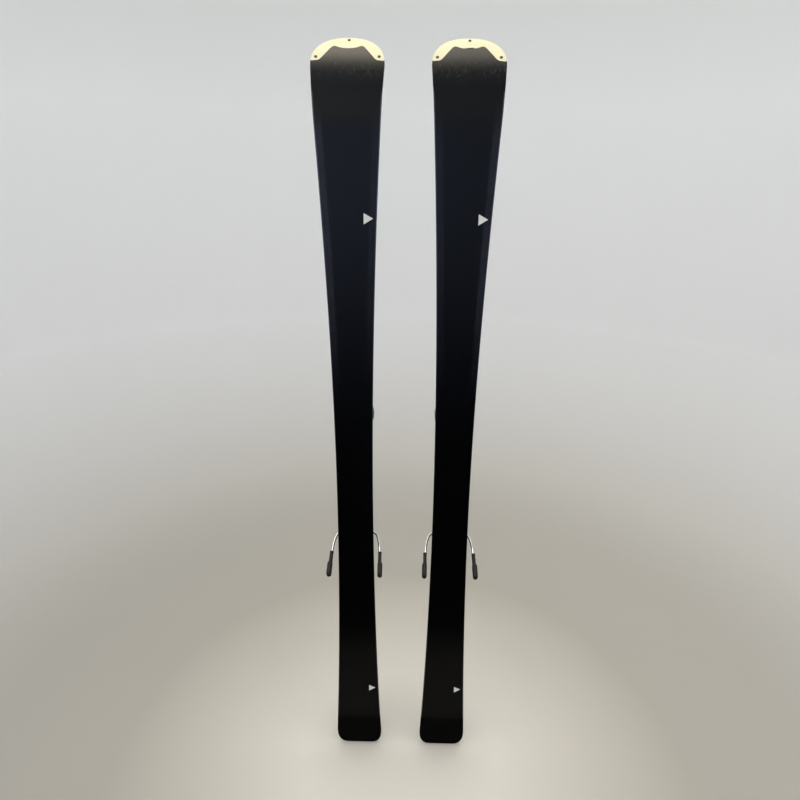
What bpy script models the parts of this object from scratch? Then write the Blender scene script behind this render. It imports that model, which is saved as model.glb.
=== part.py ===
"""A pair of alpine skis with rail bindings, upright on their tails side by side.

Z runs along the skis from tail to tip and X across them. The running bases face -Y and the bindings
+Y. Y is 0 in the plane that a base touches at its two contact points, and Z is 0 at the tail ends.
Each ski is a stack of laminates that follows one base line, with its binding on two rails on top.
"""

import math

import bmesh
import bpy
from mathutils import Matrix, Vector

# --- the pair ---
SPACING = 0.205  # between the centre lines of the two skis
GAP = 0.0003  # left between two neighbouring pieces
ROUND_SIDES = 16

# --- the ski's outline and side view ---
SKI_LENGTH = 1.570
WAIST_WIDTH = 0.0764
WAIST_Z = 0.7236
FRONT_SIDECUT = 13.27  # radius
REAR_SIDECUT = 13.91
TIP_WIDEST = 1.530  # arc length where the rounded tip starts
TIP_EXPONENT = 2.2  # of the superellipse that rounds the tip
TAIL_CORNER = 0.050
TAIL_END_HALF = 0.028
TAIL_EXPONENT = 2.4
CAMBER = 0.010
CURL_START = 1.430
CURL_RADIUS = 0.200
KICK_END = 0.100
KICK_RADIUS = 0.45
BODY_STEPS = 20
CURL_STEPS = 5
TIP_STEPS = 8
TAIL_STEPS = 6

# --- the laminates, through the thickness ---
MIDDLE_THICKNESS = 0.0145
END_THICKNESS = 0.0055
THICK_MIDDLE = 0.70
THICK_HALF_LENGTH = 0.25
THICK_FADE = 0.45
BASE_SHEET = 0.0013
EDGE_WIDTH = 0.0020
EDGE_HEIGHT = 0.0021
EDGE_START = 0.100
EDGE_END = 1.4835
SIDEWALL_WIDTH = 0.006
TOP_SHEET = 0.0010
TAIL_PLATE_END = 0.030
TAIL_PLATE_RISE = 0.0006
TIP_PLATE_START = 1.5355
TIP_PLATE_INNER = ((0.0503, 1.5355), (0.0245, 1.5662), (0.0, 1.5616))  # half of the inner contour

# --- the binding's rails and carriages: Y heights and half widths ---
SOLE_LENGTH = 0.315
TOE_Z = 0.893  # where the boot's toe stops
HEEL_Z = TOE_Z - SOLE_LENGTH
DECK = 0.0345  # top of both rails
FLANGE_UNDER = 0.0300
FLANGE_HALF = 0.0310
NECK_HALF = 0.0260
CARRIAGE_TOP = 0.0385
CARRIAGE_HALF = 0.0345
HOOK_UNDER = 0.0275
SLIDE_GAP = 0.0004

# --- the toe piece ---
WING_PIVOT_X = 0.017
WING_PIVOT_Z = TOE_Z + 0.015
WING_LOW = 0.0428
WING_HIGH = 0.0612
WING_HOLE = 0.0034
POST_RADIUS = 0.0030
TOE_BORE_Y = 0.0520
TOE_BORE_RADIUS = 0.0095
TOE_TOP = 0.0660
TOE_NOSE_Z = TOE_Z + 0.082
AFD_TOP = 0.0418

# --- the heel piece ---
HEEL_AXLE_Y = 0.0450
HEEL_AXLE_Z = HEEL_Z - 0.083
HEEL_AXLE_RADIUS = 0.0030
HEEL_HALF = 0.0225
HEEL_BACK_Z = HEEL_Z - 0.094
HEEL_BORE_Y = 0.0600
HEEL_BORE_RADIUS = 0.0090
LEVER_PIVOT_Y = 0.0660
LEVER_PIVOT_Z = HEEL_Z - 0.081
LEVER_ANGLE = math.radians(38)  # the lever's rise towards the tail
LEVER_BOSS_RADIUS = 0.0030
LEVER_HALF = 0.0050  # half the lever's thickness

# --- the ski brake ---
BRAKE_Y = 0.0460
BRAKE_Z = HEEL_Z + 0.021
BRAKE_ANGLE = math.radians(60)  # how far the deployed arms point below the ski
WIRE_RADIUS = 0.0026
BARREL_RADIUS = 0.0050
BARREL_BORE = 0.0030
WIRE_BEND = 0.012
WIRE_BEND_STEPS = 5
FOOT_START = 0.0489  # along the arm from the brake's axis
FOOT_END = 0.1055
FOOT_ACROSS = 0.0529  # from the ski's centre line
FOOT_SPLAY = 0.025  # outwards, per length

# --- springs and screws ---
SPRING_COIL_RADIUS = 0.0066
SPRING_WIRE_RADIUS = 0.0014
SPRING_TURNS = 6
SPRING_STEPS = 10  # points in one turn
SCREW_GAP = 0.0008  # round an adjusting screw in its bore
SLOT_HALF = 0.001  # half the width of its slot
SLOT_DEPTH = 0.002

MATERIALS = {
    "base_polyethylene": ((0.020, 0.022, 0.028), 0.35, 0.0),
    "edge_steel": ((0.56, 0.57, 0.58), 0.30, 1.0),
    "core_wood": ((0.62, 0.45, 0.26), 0.70, 0.0),
    "sidewall_abs": ((0.030, 0.030, 0.032), 0.50, 0.0),
    "top_sheet": ((0.055, 0.060, 0.072), 0.30, 0.0),
    "tip_ivory": ((0.90, 0.87, 0.74), 0.35, 0.0),
    "aluminium": ((0.72, 0.73, 0.75), 0.35, 1.0),
    "dark_plastic": ((0.045, 0.046, 0.050), 0.45, 0.0),
    "slider_grey": ((0.62, 0.63, 0.64), 0.30, 0.0),
    "spring_steel": ((0.45, 0.46, 0.48), 0.35, 1.0),
    "chromed_wire": ((0.75, 0.76, 0.78), 0.15, 1.0),
    "foot_plastic": ((0.085, 0.087, 0.092), 0.55, 0.0),
}


# ---------------------------------------------------------------- scene and mesh helpers


def clear_scene():
    for obj in list(bpy.data.objects):
        bpy.data.objects.remove(obj, do_unlink=True)


def material(name):
    found = bpy.data.materials.get(name)
    if found:
        return found
    colour, roughness, metallic = MATERIALS[name]
    made = bpy.data.materials.new(name)
    made.use_nodes = True
    shader = made.node_tree.nodes["Principled BSDF"]
    shader.inputs["Base Color"].default_value = (*colour, 1.0)
    shader.inputs["Roughness"].default_value = roughness
    shader.inputs["Metallic"].default_value = metallic
    made.diffuse_color = (*colour, 1.0)
    return made


def link(name, data, finish, origin):
    """Links a new object whose data is in world coordinates, with its origin at a point."""
    origin = Vector(origin)
    data.transform(Matrix.Translation(-origin))
    obj = bpy.data.objects.new(name, data)
    obj.location = origin
    obj.data.materials.append(material(finish))
    bpy.context.scene.collection.objects.link(obj)
    return obj


def mesh_object(name, bm, finish, origin=(0, 0, 0)):
    bmesh.ops.recalc_face_normals(bm, faces=bm.faces[:])
    mesh = bpy.data.meshes.new(name)
    bm.to_mesh(mesh)
    bm.free()
    return link(name, mesh, finish, origin)


def loft(name, sections, finish, origin=(0, 0, 0)):
    """A closed body through sections that have the same number of points."""
    bm = bmesh.new()
    rings = [[bm.verts.new(point) for point in section] for section in sections]
    count = len(rings[0])
    for low, high in zip(rings, rings[1:]):
        for i in range(count):
            j = (i + 1) % count
            bm.faces.new((low[i], low[j], high[j], high[i]))
    bm.faces.new(rings[0])
    bm.faces.new(rings[-1])
    return mesh_object(name, bm, finish, origin)


def prism(name, outline, start, end, finish, origin=(0, 0, 0)):
    """An outline of 3-D points, moved by start and by end, with walls between the two."""
    sections = [[Vector(point) + Vector(shift) for point in outline] for shift in (start, end)]
    return loft(name, sections, finish, origin)


def bar(name, axis, centre, radius, low, high, finish="aluminium", origin=(0, 0, 0), sides=ROUND_SIDES):
    """A round bar along axis X, Y or Z, from low to high; centre gives its other two places."""
    sections = []
    for end in (low, high):
        ring = []
        for i in range(sides):
            turn = 2 * math.pi * i / sides
            point = Vector(centre)
            point[(axis + 1) % 3] += radius * math.cos(turn)
            point[(axis + 2) % 3] += radius * math.sin(turn)
            point[axis] = end
            ring.append(point)
        sections.append(ring)
    return loft(name, sections, finish, origin)


def combine(target, tool, operation):
    """Unites target with tool, or cuts tool out of it. The tool stays as a hidden guide."""
    tool.hide_render = True
    tool.display_type = "WIRE"
    modifier = target.modifiers.new(operation.title(), "BOOLEAN")
    modifier.operation = operation
    modifier.solver = "EXACT"
    modifier.object = tool


def chamfered(centre, across, up, half_across, half_up, cut):
    """Eight points round a centre: a rectangle with its corners cut off."""
    corners = []
    for a, b in ((1, 1), (-1, 1), (-1, -1), (1, -1)):
        first = (half_across - cut, half_up) if a == b else (half_across, half_up - cut)
        second = (half_across, half_up - cut) if a == b else (half_across - cut, half_up)
        for da, db in (second, first):
            corners.append(centre + across * (a * da) + up * (b * db))
    return corners


# ---------------------------------------------------------------- the ski's shape


def arc_end():
    """Arc length of the tip end, where the base reaches the ski's full height."""
    return CURL_START + CURL_RADIUS * math.asin((SKI_LENGTH - CURL_START) / CURL_RADIUS)


def base_line(s):
    """(y, z, tilt) of the running base at arc length s from the tail."""
    if s > CURL_START:
        tilt = (s - CURL_START) / CURL_RADIUS
        return CURL_RADIUS * (1 - math.cos(tilt)), CURL_START + CURL_RADIUS * math.sin(tilt), tilt
    half = (CURL_START - KICK_END) / 2
    u = (s - KICK_END - half) / half
    y = slope = 0.0
    if abs(u) < 1:
        y = CAMBER * (1 - u * u) ** 2
        slope = -4 * CAMBER * u * (1 - u * u) / half
    if s < KICK_END:
        y = (KICK_END - s) ** 2 / (2 * KICK_RADIUS)
        slope = (s - KICK_END) / KICK_RADIUS
    return y, s, math.atan(slope)


def on_ski(centre_x, x, s, offset):
    """The point at x from the ski's centre line, arc length s, and offset above the base."""
    y, z, tilt = base_line(s)
    return Vector((centre_x + x, y + offset * math.cos(tilt), z - offset * math.sin(tilt)))


def half_width(s):
    sidecut = FRONT_SIDECUT if s > WAIST_Z else REAR_SIDECUT
    if s > TIP_WIDEST:
        t = min(1.0, (s - TIP_WIDEST) / (arc_end() - TIP_WIDEST))
        return half_width(TIP_WIDEST) * (1 - t**TIP_EXPONENT) ** (1 / TIP_EXPONENT)
    if s < TAIL_CORNER:
        t = 1 - s / TAIL_CORNER
        bulge = (1 - t**TAIL_EXPONENT) ** (1 / TAIL_EXPONENT)
        return TAIL_END_HALF + (half_width(TAIL_CORNER) - TAIL_END_HALF) * bulge
    return WAIST_WIDTH / 2 + (s - WAIST_Z) ** 2 / (2 * sidecut)


def thickness(s):
    beyond = (abs(s - THICK_MIDDLE) - THICK_HALF_LENGTH) / THICK_FADE
    fade = (1 + math.cos(math.pi * min(1.0, max(0.0, beyond)))) / 2
    return END_THICKNESS + (MIDDLE_THICKNESS - END_THICKNESS) * fade


def stations():
    """Arc lengths of the ski's sections, close together where it curves."""
    quarter = math.pi / 2
    tail = [TAIL_CORNER * (1 - math.cos(quarter * i / TAIL_STEPS)) for i in range(TAIL_STEPS)]
    body = [TAIL_CORNER + (CURL_START - TAIL_CORNER) * i / BODY_STEPS for i in range(BODY_STEPS)]
    curl = [CURL_START + (TIP_WIDEST - CURL_START) * i / CURL_STEPS for i in range(CURL_STEPS)]
    tip_length = arc_end() - TIP_WIDEST
    tip = [TIP_WIDEST + tip_length * math.sin(quarter * i / TIP_STEPS) for i in range(TIP_STEPS + 1)]
    return tail + body + curl + tip


def side_line(inset, low, high):
    """(x, s) points along the ski's right side from low to high, inset from it."""
    inner = [s for s in stations() if low + GAP < s < high - GAP]
    return [(max(0.0, half_width(s) - inset), s) for s in [low, *inner, high]]


def both_sides(right):
    """The whole outline of a piece as wide as the ski, from its right side, tail to tip."""
    return right + [(-x, s) for x, s in reversed(right) if x > 0]


def strip(side, outer_inset, inner_inset, low, high):
    """The outline of a strip along one side of the ski; side is 1 or -1."""
    outer = side_line(outer_inset, low, high)
    inner = side_line(inner_inset, low, high)
    return [(side * x, s) for x, s in outer + inner[::-1]]


def laminate(name, centre_x, outline, low, high, finish):
    """A layer of the ski: an (x, s) outline between two offsets above the base, both functions of s."""
    bm = bmesh.new()
    bm.faces.new([bm.verts.new((x, s, 0)) for x, s in outline])
    ends = [s for _, s in outline]
    cuts = sorted({s for s in [*stations(), *ends] if min(ends) < s < max(ends)})
    for s in cuts:
        geometry = bm.verts[:] + bm.edges[:] + bm.faces[:]
        bmesh.ops.bisect_plane(bm, geom=geometry, plane_co=(0, s, 0), plane_no=(0, 1, 0), dist=1e-6)
    lower = set(bm.verts)
    bmesh.ops.extrude_face_region(bm, geom=bm.faces[:])
    # the extruded copies are the upper side; the first faces stay behind as the lower one
    for vertex in bm.verts:
        offset = low if vertex in lower else high
        vertex.co = on_ski(centre_x, vertex.co.x, vertex.co.y, offset(vertex.co.y))
    return mesh_object(name, bm, finish)


def stepped_side(inset, end):
    """The right side of a piece that is set in where the edges run, from the tail to end."""
    return (
        side_line(0, 0.0, EDGE_START - GAP)
        + side_line(inset, EDGE_START - GAP, EDGE_END + GAP)
        + side_line(0, EDGE_END + GAP, end)
    )


def make_laminates(ski, x):
    def under_top(s):
        return thickness(s) - TOP_SHEET - GAP

    plate_inner = [(px - GAP if px else px, ps - GAP) for px, ps in TIP_PLATE_INNER]
    base_side = stepped_side(EDGE_WIDTH + GAP, TIP_PLATE_START - GAP)
    base = both_sides(base_side + plate_inner)
    laminate(f"{ski}_base", x, base, lambda s: 0.0, lambda s: BASE_SHEET, "base_polyethylene")

    outer = both_sides(side_line(0, TIP_PLATE_START, arc_end()))
    inner = both_sides(list(TIP_PLATE_INNER))
    tip_plate = outer + inner[::-1]
    laminate(f"{ski}_tip_plate", x, tip_plate, lambda s: 0.0, lambda s: BASE_SHEET, "tip_ivory")

    core = both_sides(stepped_side(SIDEWALL_WIDTH + GAP, arc_end()))
    laminate(f"{ski}_core", x, core, lambda s: BASE_SHEET + GAP, under_top, "core_wood")

    top = both_sides(side_line(0, TAIL_PLATE_END + GAP, arc_end()))
    laminate(f"{ski}_topsheet", x, top, lambda s: thickness(s) - TOP_SHEET, thickness, "top_sheet")

    tail = both_sides(side_line(0, 0.0, TAIL_PLATE_END))
    laminate(
        f"{ski}_tail_protector",
        x,
        tail,
        lambda s: thickness(s) - TOP_SHEET,
        lambda s: thickness(s) + TAIL_PLATE_RISE,
        "aluminium",
    )

    for side, place in sides_of(ski):
        edge = strip(side, 0, EDGE_WIDTH, EDGE_START, EDGE_END)
        laminate(f"{ski}_edge_{place}", x, edge, lambda s: 0.0, lambda s: EDGE_HEIGHT, "edge_steel")
        wall = strip(side, 0, SIDEWALL_WIDTH, EDGE_START, EDGE_END)
        laminate(
            f"{ski}_sidewall_{place}", x, wall, lambda s: EDGE_HEIGHT + GAP, under_top, "sidewall_abs"
        )


def sides_of(ski):
    """The two X directions of a ski, with the side of the pair that each one faces."""
    return ((-1, "outer"), (1, "inner")) if ski == "left" else ((1, "outer"), (-1, "inner"))


# ---------------------------------------------------------------- rails and carriages


def make_rail(name, x, low, high):
    """A T-section rail, flat on top, whose foot follows the curve of the topsheet."""
    sections = []
    inner = [s for s in stations() if low < s < high]
    for z in [low, *inner, high]:
        foot = base_line(z)[0] + thickness(z) + GAP
        neck = [(NECK_HALF, foot), (NECK_HALF, FLANGE_UNDER)]
        flange = [(FLANGE_HALF, FLANGE_UNDER), (FLANGE_HALF, DECK)]
        half = neck + flange
        whole = half + [(-a, b) for a, b in reversed(half)]
        sections.append([Vector((x + a, b, z)) for a, b in whole])
    loft(name, sections, "dark_plastic")


def make_carriage(name, x, low, high, origin):
    """A channel that hooks round the rail's flange and slides along it."""
    inside = FLANGE_HALF + SLIDE_GAP
    half = [
        (CARRIAGE_HALF, CARRIAGE_TOP),
        (CARRIAGE_HALF, HOOK_UNDER),
        (NECK_HALF + SLIDE_GAP, HOOK_UNDER),
        (NECK_HALF + SLIDE_GAP, FLANGE_UNDER - SLIDE_GAP),
        (inside, FLANGE_UNDER - SLIDE_GAP),
        (inside, DECK + SLIDE_GAP),
    ]
    whole = half + [(-a, b) for a, b in reversed(half)]
    outline = [(x + a, b, 0) for a, b in whole]
    return prism(name, outline, (0, 0, low), (0, 0, high), "dark_plastic", origin)


def make_spring(name, centre, low, high):
    """A compression spring along Z."""
    data = bpy.data.curves.new(name, "CURVE")
    data.dimensions = "3D"
    data.bevel_depth = SPRING_WIRE_RADIUS
    data.bevel_resolution = 0
    data.use_fill_caps = True
    spline = data.splines.new("POLY")
    count = SPRING_TURNS * SPRING_STEPS
    spline.points.add(count)
    for i, point in enumerate(spline.points):
        turn = 2 * math.pi * i / SPRING_STEPS
        x = centre[0] + SPRING_COIL_RADIUS * math.cos(turn)
        y = centre[1] + SPRING_COIL_RADIUS * math.sin(turn)
        point.co = (x, y, low + (high - low) * i / count, 1)
    link(name, data, "spring_steel", (0, 0, 0))


def make_screw(name, centre, radius, low, high, slot_z):
    """A slotted adjusting screw along Z, whose slot is cut in the end at slot_z."""
    screw = bar(name, 2, centre, radius, low, high, "spring_steel", (*centre[:2], slot_z))
    reach = 1.2 * radius
    corners = (
        (reach, SLOT_HALF),
        (-reach, SLOT_HALF),
        (-reach, -SLOT_HALF),
        (reach, -SLOT_HALF),
    )
    outline = [(centre[0] + a, centre[1] + b, 0) for a, b in corners]
    low, high = (0, 0, slot_z - SLOT_DEPTH), (0, 0, slot_z + SLOT_DEPTH)
    slot = prism(f"{name}_slot", outline, low, high, "spring_steel")
    combine(screw, slot, "DIFFERENCE")


# ---------------------------------------------------------------- the toe piece


def plan(x, points, y):
    """Points (across, along) in the ski's plan, at height y."""
    return [(x + a, y, z) for a, z in points]


def make_toe_housing(ski, x, origin):
    across, up = Vector((1, 0, 0)), Vector((0, 1, 0))
    floor = CARRIAGE_TOP + GAP
    middle = (floor + TOE_TOP) / 2
    half = (TOE_TOP - floor) / 2
    back = Vector((x, middle, TOE_Z + 0.036))
    belly = Vector((x, middle, TOE_Z + 0.060))
    nose = Vector((x, middle - 0.0015, TOE_NOSE_Z))
    sections = [
        chamfered(back, across, up, 0.0250, half, 0.004),
        chamfered(belly, across, up, 0.0220, half, 0.005),
        chamfered(nose, across, up, 0.0160, half - 0.0015, 0.006),
    ]
    housing = loft(f"{ski}_toe_housing", sections, "dark_plastic", origin)
    half_roof = [(0.0180, 0.0040), (0.0255, 0.0170), (0.0255, 0.0380)]
    roof = half_roof + [(-a, b) for a, b in reversed(half_roof)]
    roof = [(a, TOE_Z + z) for a, z in roof]
    for name, low, high in (("floor", floor, WING_LOW - GAP), ("roof", WING_HIGH + GAP, TOE_TOP)):
        plate = prism(f"{ski}_toe_{name}", plan(x, roof, 0), (0, low, 0), (0, high, 0), "dark_plastic")
        combine(housing, plate, "UNION")
    for side in (-1, 1):
        centre = (x + side * WING_PIVOT_X, 0, WING_PIVOT_Z)
        post = bar(f"{ski}_toe_post{side}", 1, centre, POST_RADIUS, WING_LOW - 0.002, WING_HIGH + 0.002)
        combine(housing, post, "UNION")
    bore_from = TOE_Z + 0.042
    bore = bar(f"{ski}_toe_bore", 2, (x, TOE_BORE_Y, 0), TOE_BORE_RADIUS, bore_from, TOE_NOSE_Z + 0.01)
    combine(housing, bore, "DIFFERENCE")
    make_spring(f"{ski}_toe_spring", (x, TOE_BORE_Y), bore_from + 0.003, TOE_NOSE_Z - 0.022)
    centre = (x, TOE_BORE_Y, 0)
    radius = TOE_BORE_RADIUS - SCREW_GAP
    make_screw(f"{ski}_toe_screw", centre, radius, TOE_NOSE_Z - 0.016, TOE_NOSE_Z, TOE_NOSE_Z)


def make_wing(ski, x, side, place):
    """One jaw of the toe piece, round its post."""
    half = [
        (0.0120, 0.0080),
        (0.0120, 0.0210),
        (0.0190, 0.0235),
        (0.0290, 0.0170),
        (0.0365, 0.0050),
        (0.0392, -0.0070),
        (0.0385, -0.0190),
        (0.0350, -0.0205),
        (0.0330, -0.0090),
        (0.0270, 0.0005),
        (0.0190, 0.0050),
    ]
    outline = plan(x, [(side * a, TOE_Z + z) for a, z in half], 0)
    origin = (x + side * WING_PIVOT_X, (WING_LOW + WING_HIGH) / 2, WING_PIVOT_Z)
    low, high = (0, WING_LOW, 0), (0, WING_HIGH, 0)
    wing = prism(f"{ski}_toe_wing_{place}", outline, low, high, "dark_plastic", origin)
    axis = (origin[0], 0, origin[2])
    hole = bar(f"{ski}_wing_hole_{place}", 1, axis, WING_HOLE, WING_LOW - 0.01, WING_HIGH + 0.01)
    combine(wing, hole, "DIFFERENCE")


def make_toe(ski, x):
    origin = (x, DECK, TOE_Z)
    make_rail(f"{ski}_toe_rail", x, TOE_Z - 0.100, TOE_Z + 0.094)
    make_carriage(f"{ski}_toe_carriage", x, TOE_Z - 0.062, TOE_Z + 0.080, origin)
    make_toe_housing(ski, x, origin)
    half_pad = [(0.0290, -0.0530), (0.0290, -0.0100), (0.0250, -0.0050)]
    pad = half_pad + [(-a, b) for a, b in reversed(half_pad)]
    outline = plan(x, [(a, TOE_Z + z) for a, z in pad], 0)
    low, high = (0, CARRIAGE_TOP + GAP, 0), (0, AFD_TOP, 0)
    prism(f"{ski}_toe_slide_pad", outline, low, high, "slider_grey", origin)
    for side, place in sides_of(ski):
        make_wing(ski, x, side, place)


# ---------------------------------------------------------------- the heel piece


def make_heel_carriage(ski, x):
    origin = (x, DECK, HEEL_Z)
    carriage = make_carriage(f"{ski}_heel_carriage", x, HEEL_Z - 0.116, HEEL_Z + 0.077, origin)
    ear = [(0.0375, -0.093), (0.0375, -0.073), (0.0510, -0.078), (0.0510, -0.088)]
    for side in (-1, 1):
        outline = [(x, y, HEEL_Z + z) for y, z in ear]
        low, high = sorted((side * (HEEL_HALF + 0.001), side * (HEEL_HALF + 0.005)))
        lug = prism(f"{ski}_heel_ear{side}", outline, (low, 0, 0), (high, 0, 0), "dark_plastic")
        combine(carriage, lug, "UNION")
    centre = (0, HEEL_AXLE_Y, HEEL_AXLE_Z)
    reach = HEEL_HALF + 0.0065
    hole = bar(f"{ski}_ear_hole", 0, centre, HEEL_AXLE_RADIUS + GAP, x - 0.04, x + 0.04)
    combine(carriage, hole, "DIFFERENCE")
    origin = (x, *centre[1:])
    bar(f"{ski}_heel_axle", 0, centre, HEEL_AXLE_RADIUS, x - reach, x + reach, "spring_steel", origin)


def make_heel_cup(ski, x):
    """The sprung housing that holds the boot's heel down, round the axle at its back."""
    side_view = [
        (0.0490, -0.0940),
        (0.0405, -0.0850),
        (0.0405, 0.0000),
        (0.0490, 0.0060),
        (0.0560, 0.0010),
        (0.0620, 0.0120),
        (0.0700, 0.0120),
        (0.0760, -0.0050),
        (0.0770, -0.0600),
        (0.0730, -0.0940),
    ]
    outline = [(x, y, HEEL_Z + z) for y, z in side_view]
    origin = (x, HEEL_AXLE_Y, HEEL_AXLE_Z)
    cup = prism(f"{ski}_heel_cup", outline, (-HEEL_HALF, 0, 0), (HEEL_HALF, 0, 0), "dark_plastic", origin)
    reach = HEEL_HALF + 0.0055
    pivot = (0, LEVER_PIVOT_Y, LEVER_PIVOT_Z)
    boss = bar(f"{ski}_lever_boss", 0, pivot, LEVER_BOSS_RADIUS, x - reach, x + reach)
    combine(cup, boss, "UNION")
    hole = bar(f"{ski}_cup_hole", 0, origin, HEEL_AXLE_RADIUS + GAP, x - 0.04, x + 0.04)
    combine(cup, hole, "DIFFERENCE")
    centre = (x, HEEL_BORE_Y, 0)
    bore_to = HEEL_BACK_Z + 0.070
    bore = bar(f"{ski}_heel_bore", 2, centre, HEEL_BORE_RADIUS, HEEL_BACK_Z - 0.01, bore_to)
    combine(cup, bore, "DIFFERENCE")
    make_spring(f"{ski}_heel_spring", (x, HEEL_BORE_Y), HEEL_BACK_Z + 0.022, bore_to - 0.004)
    radius = HEEL_BORE_RADIUS - SCREW_GAP
    make_screw(f"{ski}_heel_screw", centre, radius, HEEL_BACK_Z, HEEL_BACK_Z + 0.018, HEEL_BACK_Z)


def make_heel_lever(ski, x):
    """The step-out lever: a fork round the back of the cup that ends in a paddle."""
    inner, outer = HEEL_HALF + 0.0008, HEEL_HALF + 0.0048
    half = [(inner, -0.0065), (outer, -0.0065), (outer, 0.0300), (0.0210, 0.0720), (0.0150, 0.0780)]
    fork = half + [(-a, b) for a, b in reversed(half)] + [(-inner, 0.0240), (inner, 0.0240)]
    along = Vector((0, math.sin(LEVER_ANGLE), -math.cos(LEVER_ANGLE)))
    normal = Vector((0, math.cos(LEVER_ANGLE), math.sin(LEVER_ANGLE)))
    pivot = Vector((x, LEVER_PIVOT_Y, LEVER_PIVOT_Z))
    outline = [pivot + Vector((a, 0, 0)) + along * b for a, b in fork]
    low, high = normal * -LEVER_HALF, normal * LEVER_HALF
    lever = prism(f"{ski}_heel_lever", outline, low, high, "tip_ivory", pivot)
    hole = bar(f"{ski}_lever_hole", 0, pivot, LEVER_BOSS_RADIUS + 0.0004, x - 0.04, x + 0.04)
    combine(lever, hole, "DIFFERENCE")


# ---------------------------------------------------------------- the ski brake


def arm_point(x, across, distance):
    """A point of the brake at a distance along its deployed arms, and across from the ski's middle."""
    y = BRAKE_Y - distance * math.sin(BRAKE_ANGLE)
    z = BRAKE_Z - distance * math.cos(BRAKE_ANGLE)
    return Vector((x + across, y, z))


def rounded_path(corners, radius, steps):
    """The corners of a bent wire, with each inner one rounded by a quadratic arc."""
    path = [corners[0]]
    for before, corner, after in zip(corners, corners[1:], corners[2:]):
        start = corner + (before - corner).normalized() * radius
        end = corner + (after - corner).normalized() * radius
        for i in range(steps + 1):
            t = i / steps
            path.append(start * (1 - t) ** 2 + corner * (2 * t * (1 - t)) + end * t**2)
    return [*path, corners[-1]]


def make_brake_arm(ski, x, side, place):
    corners = [
        arm_point(x, side * 0.0010, 0),
        arm_point(x, side * 0.0420, 0),
        arm_point(x, side * 0.0502, 0.0230),
        arm_point(x, side * FOOT_ACROSS, FOOT_START - GAP),
    ]
    data = bpy.data.curves.new(f"{ski}_brake_arm_{place}", "CURVE")
    data.dimensions = "3D"
    data.bevel_depth = WIRE_RADIUS
    data.bevel_resolution = 2
    data.use_fill_caps = True
    spline = data.splines.new("POLY")
    path = rounded_path(corners, WIRE_BEND, WIRE_BEND_STEPS)
    spline.points.add(len(path) - 1)
    for point, place_on_path in zip(spline.points, path):
        point.co = (*place_on_path, 1)
    link(f"{ski}_brake_arm_{place}", data, "chromed_wire", (x, BRAKE_Y, BRAKE_Z))


def make_brake_foot(ski, x, side, place):
    """The moulded foot on the end of an arm."""
    across = Vector((1, 0, 0))
    up = Vector((0, math.cos(BRAKE_ANGLE), -math.sin(BRAKE_ANGLE)))
    shape = (  # along the arm, half width, half depth
        (FOOT_START, 0.0036, 0.0050),
        (0.062, 0.0041, 0.0070),
        (0.090, 0.0052, 0.0085),
        (FOOT_END, 0.0046, 0.0060),
    )
    sections = []
    for distance, half_across, half_up in shape:
        splay = FOOT_SPLAY * (distance - FOOT_START)
        centre = arm_point(x, side * (FOOT_ACROSS + splay), distance)
        sections.append(chamfered(centre, across, up, half_across, half_up, 0.3 * half_across))
    loft(f"{ski}_brake_foot_{place}", sections, "foot_plastic", (x, BRAKE_Y, BRAKE_Z))


def make_brake_base(ski, x):
    """The block on the heel carriage whose two lugs carry the brake's wires."""
    floor = CARRIAGE_TOP + GAP
    origin = (x, DECK, HEEL_Z)
    plate = [(0.0290, 0.009), (0.0290, 0.060), (-0.0290, 0.060), (-0.0290, 0.009)]
    outline = plan(x, [(a, HEEL_Z + z) for a, z in plate], 0)
    low, high = (0, floor, 0), (0, floor + 0.0017, 0)
    base = prism(f"{ski}_brake_base", outline, low, high, "dark_plastic", origin)
    lug_view = [
        (floor + 0.0008, 0.011),
        (floor + 0.0008, 0.031),
        (BRAKE_Y + 0.003, 0.028),
        (BRAKE_Y + 0.006, 0.021),
        (BRAKE_Y + 0.003, 0.014),
    ]
    for side in (-1, 1):
        outline = [(x, y, HEEL_Z + z) for y, z in lug_view]
        low, high = sorted((side * 0.0240, side * 0.0290))
        lug = prism(f"{ski}_brake_lug{side}", outline, (low, 0, 0), (high, 0, 0), "dark_plastic")
        combine(base, lug, "UNION")
    hole = bar(f"{ski}_lug_hole", 0, (0, BRAKE_Y, BRAKE_Z), BARREL_BORE + 0.0001, x - 0.04, x + 0.04)
    combine(base, hole, "DIFFERENCE")


def make_brake_pedal(ski, x):
    """The pedal that the boot's heel presses down, on a barrel round the wires."""
    along = Vector((0, math.sin(BRAKE_ANGLE), math.cos(BRAKE_ANGLE)))
    normal = Vector((0, math.cos(BRAKE_ANGLE), -math.sin(BRAKE_ANGLE)))
    pivot = Vector((x, BRAKE_Y, BRAKE_Z))
    half = [(0.0200, 0.0), (0.0215, 0.0080), (0.0215, 0.0420), (0.0160, 0.0500)]
    outline = half + [(-a, b) for a, b in reversed(half)]
    points = [pivot + Vector((a, 0, 0)) + along * b for a, b in outline]
    pedal = prism(f"{ski}_brake_pedal", points, normal * -0.0005, normal * 0.0045, "dark_plastic", pivot)
    barrel = bar(f"{ski}_pedal_barrel", 0, pivot, BARREL_RADIUS, x - 0.0234, x + 0.0234)
    combine(pedal, barrel, "UNION")
    bore = bar(f"{ski}_pedal_bore", 0, pivot, BARREL_BORE, x - 0.04, x + 0.04)
    combine(pedal, bore, "DIFFERENCE")


def make_heel(ski, x):
    make_rail(f"{ski}_heel_rail", x, HEEL_Z - 0.150, HEEL_Z + 0.090)
    make_heel_carriage(ski, x)
    make_heel_cup(ski, x)
    make_heel_lever(ski, x)
    make_brake_base(ski, x)
    make_brake_pedal(ski, x)
    for side, place in sides_of(ski):
        make_brake_arm(ski, x, side, place)
        make_brake_foot(ski, x, side, place)


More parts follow.
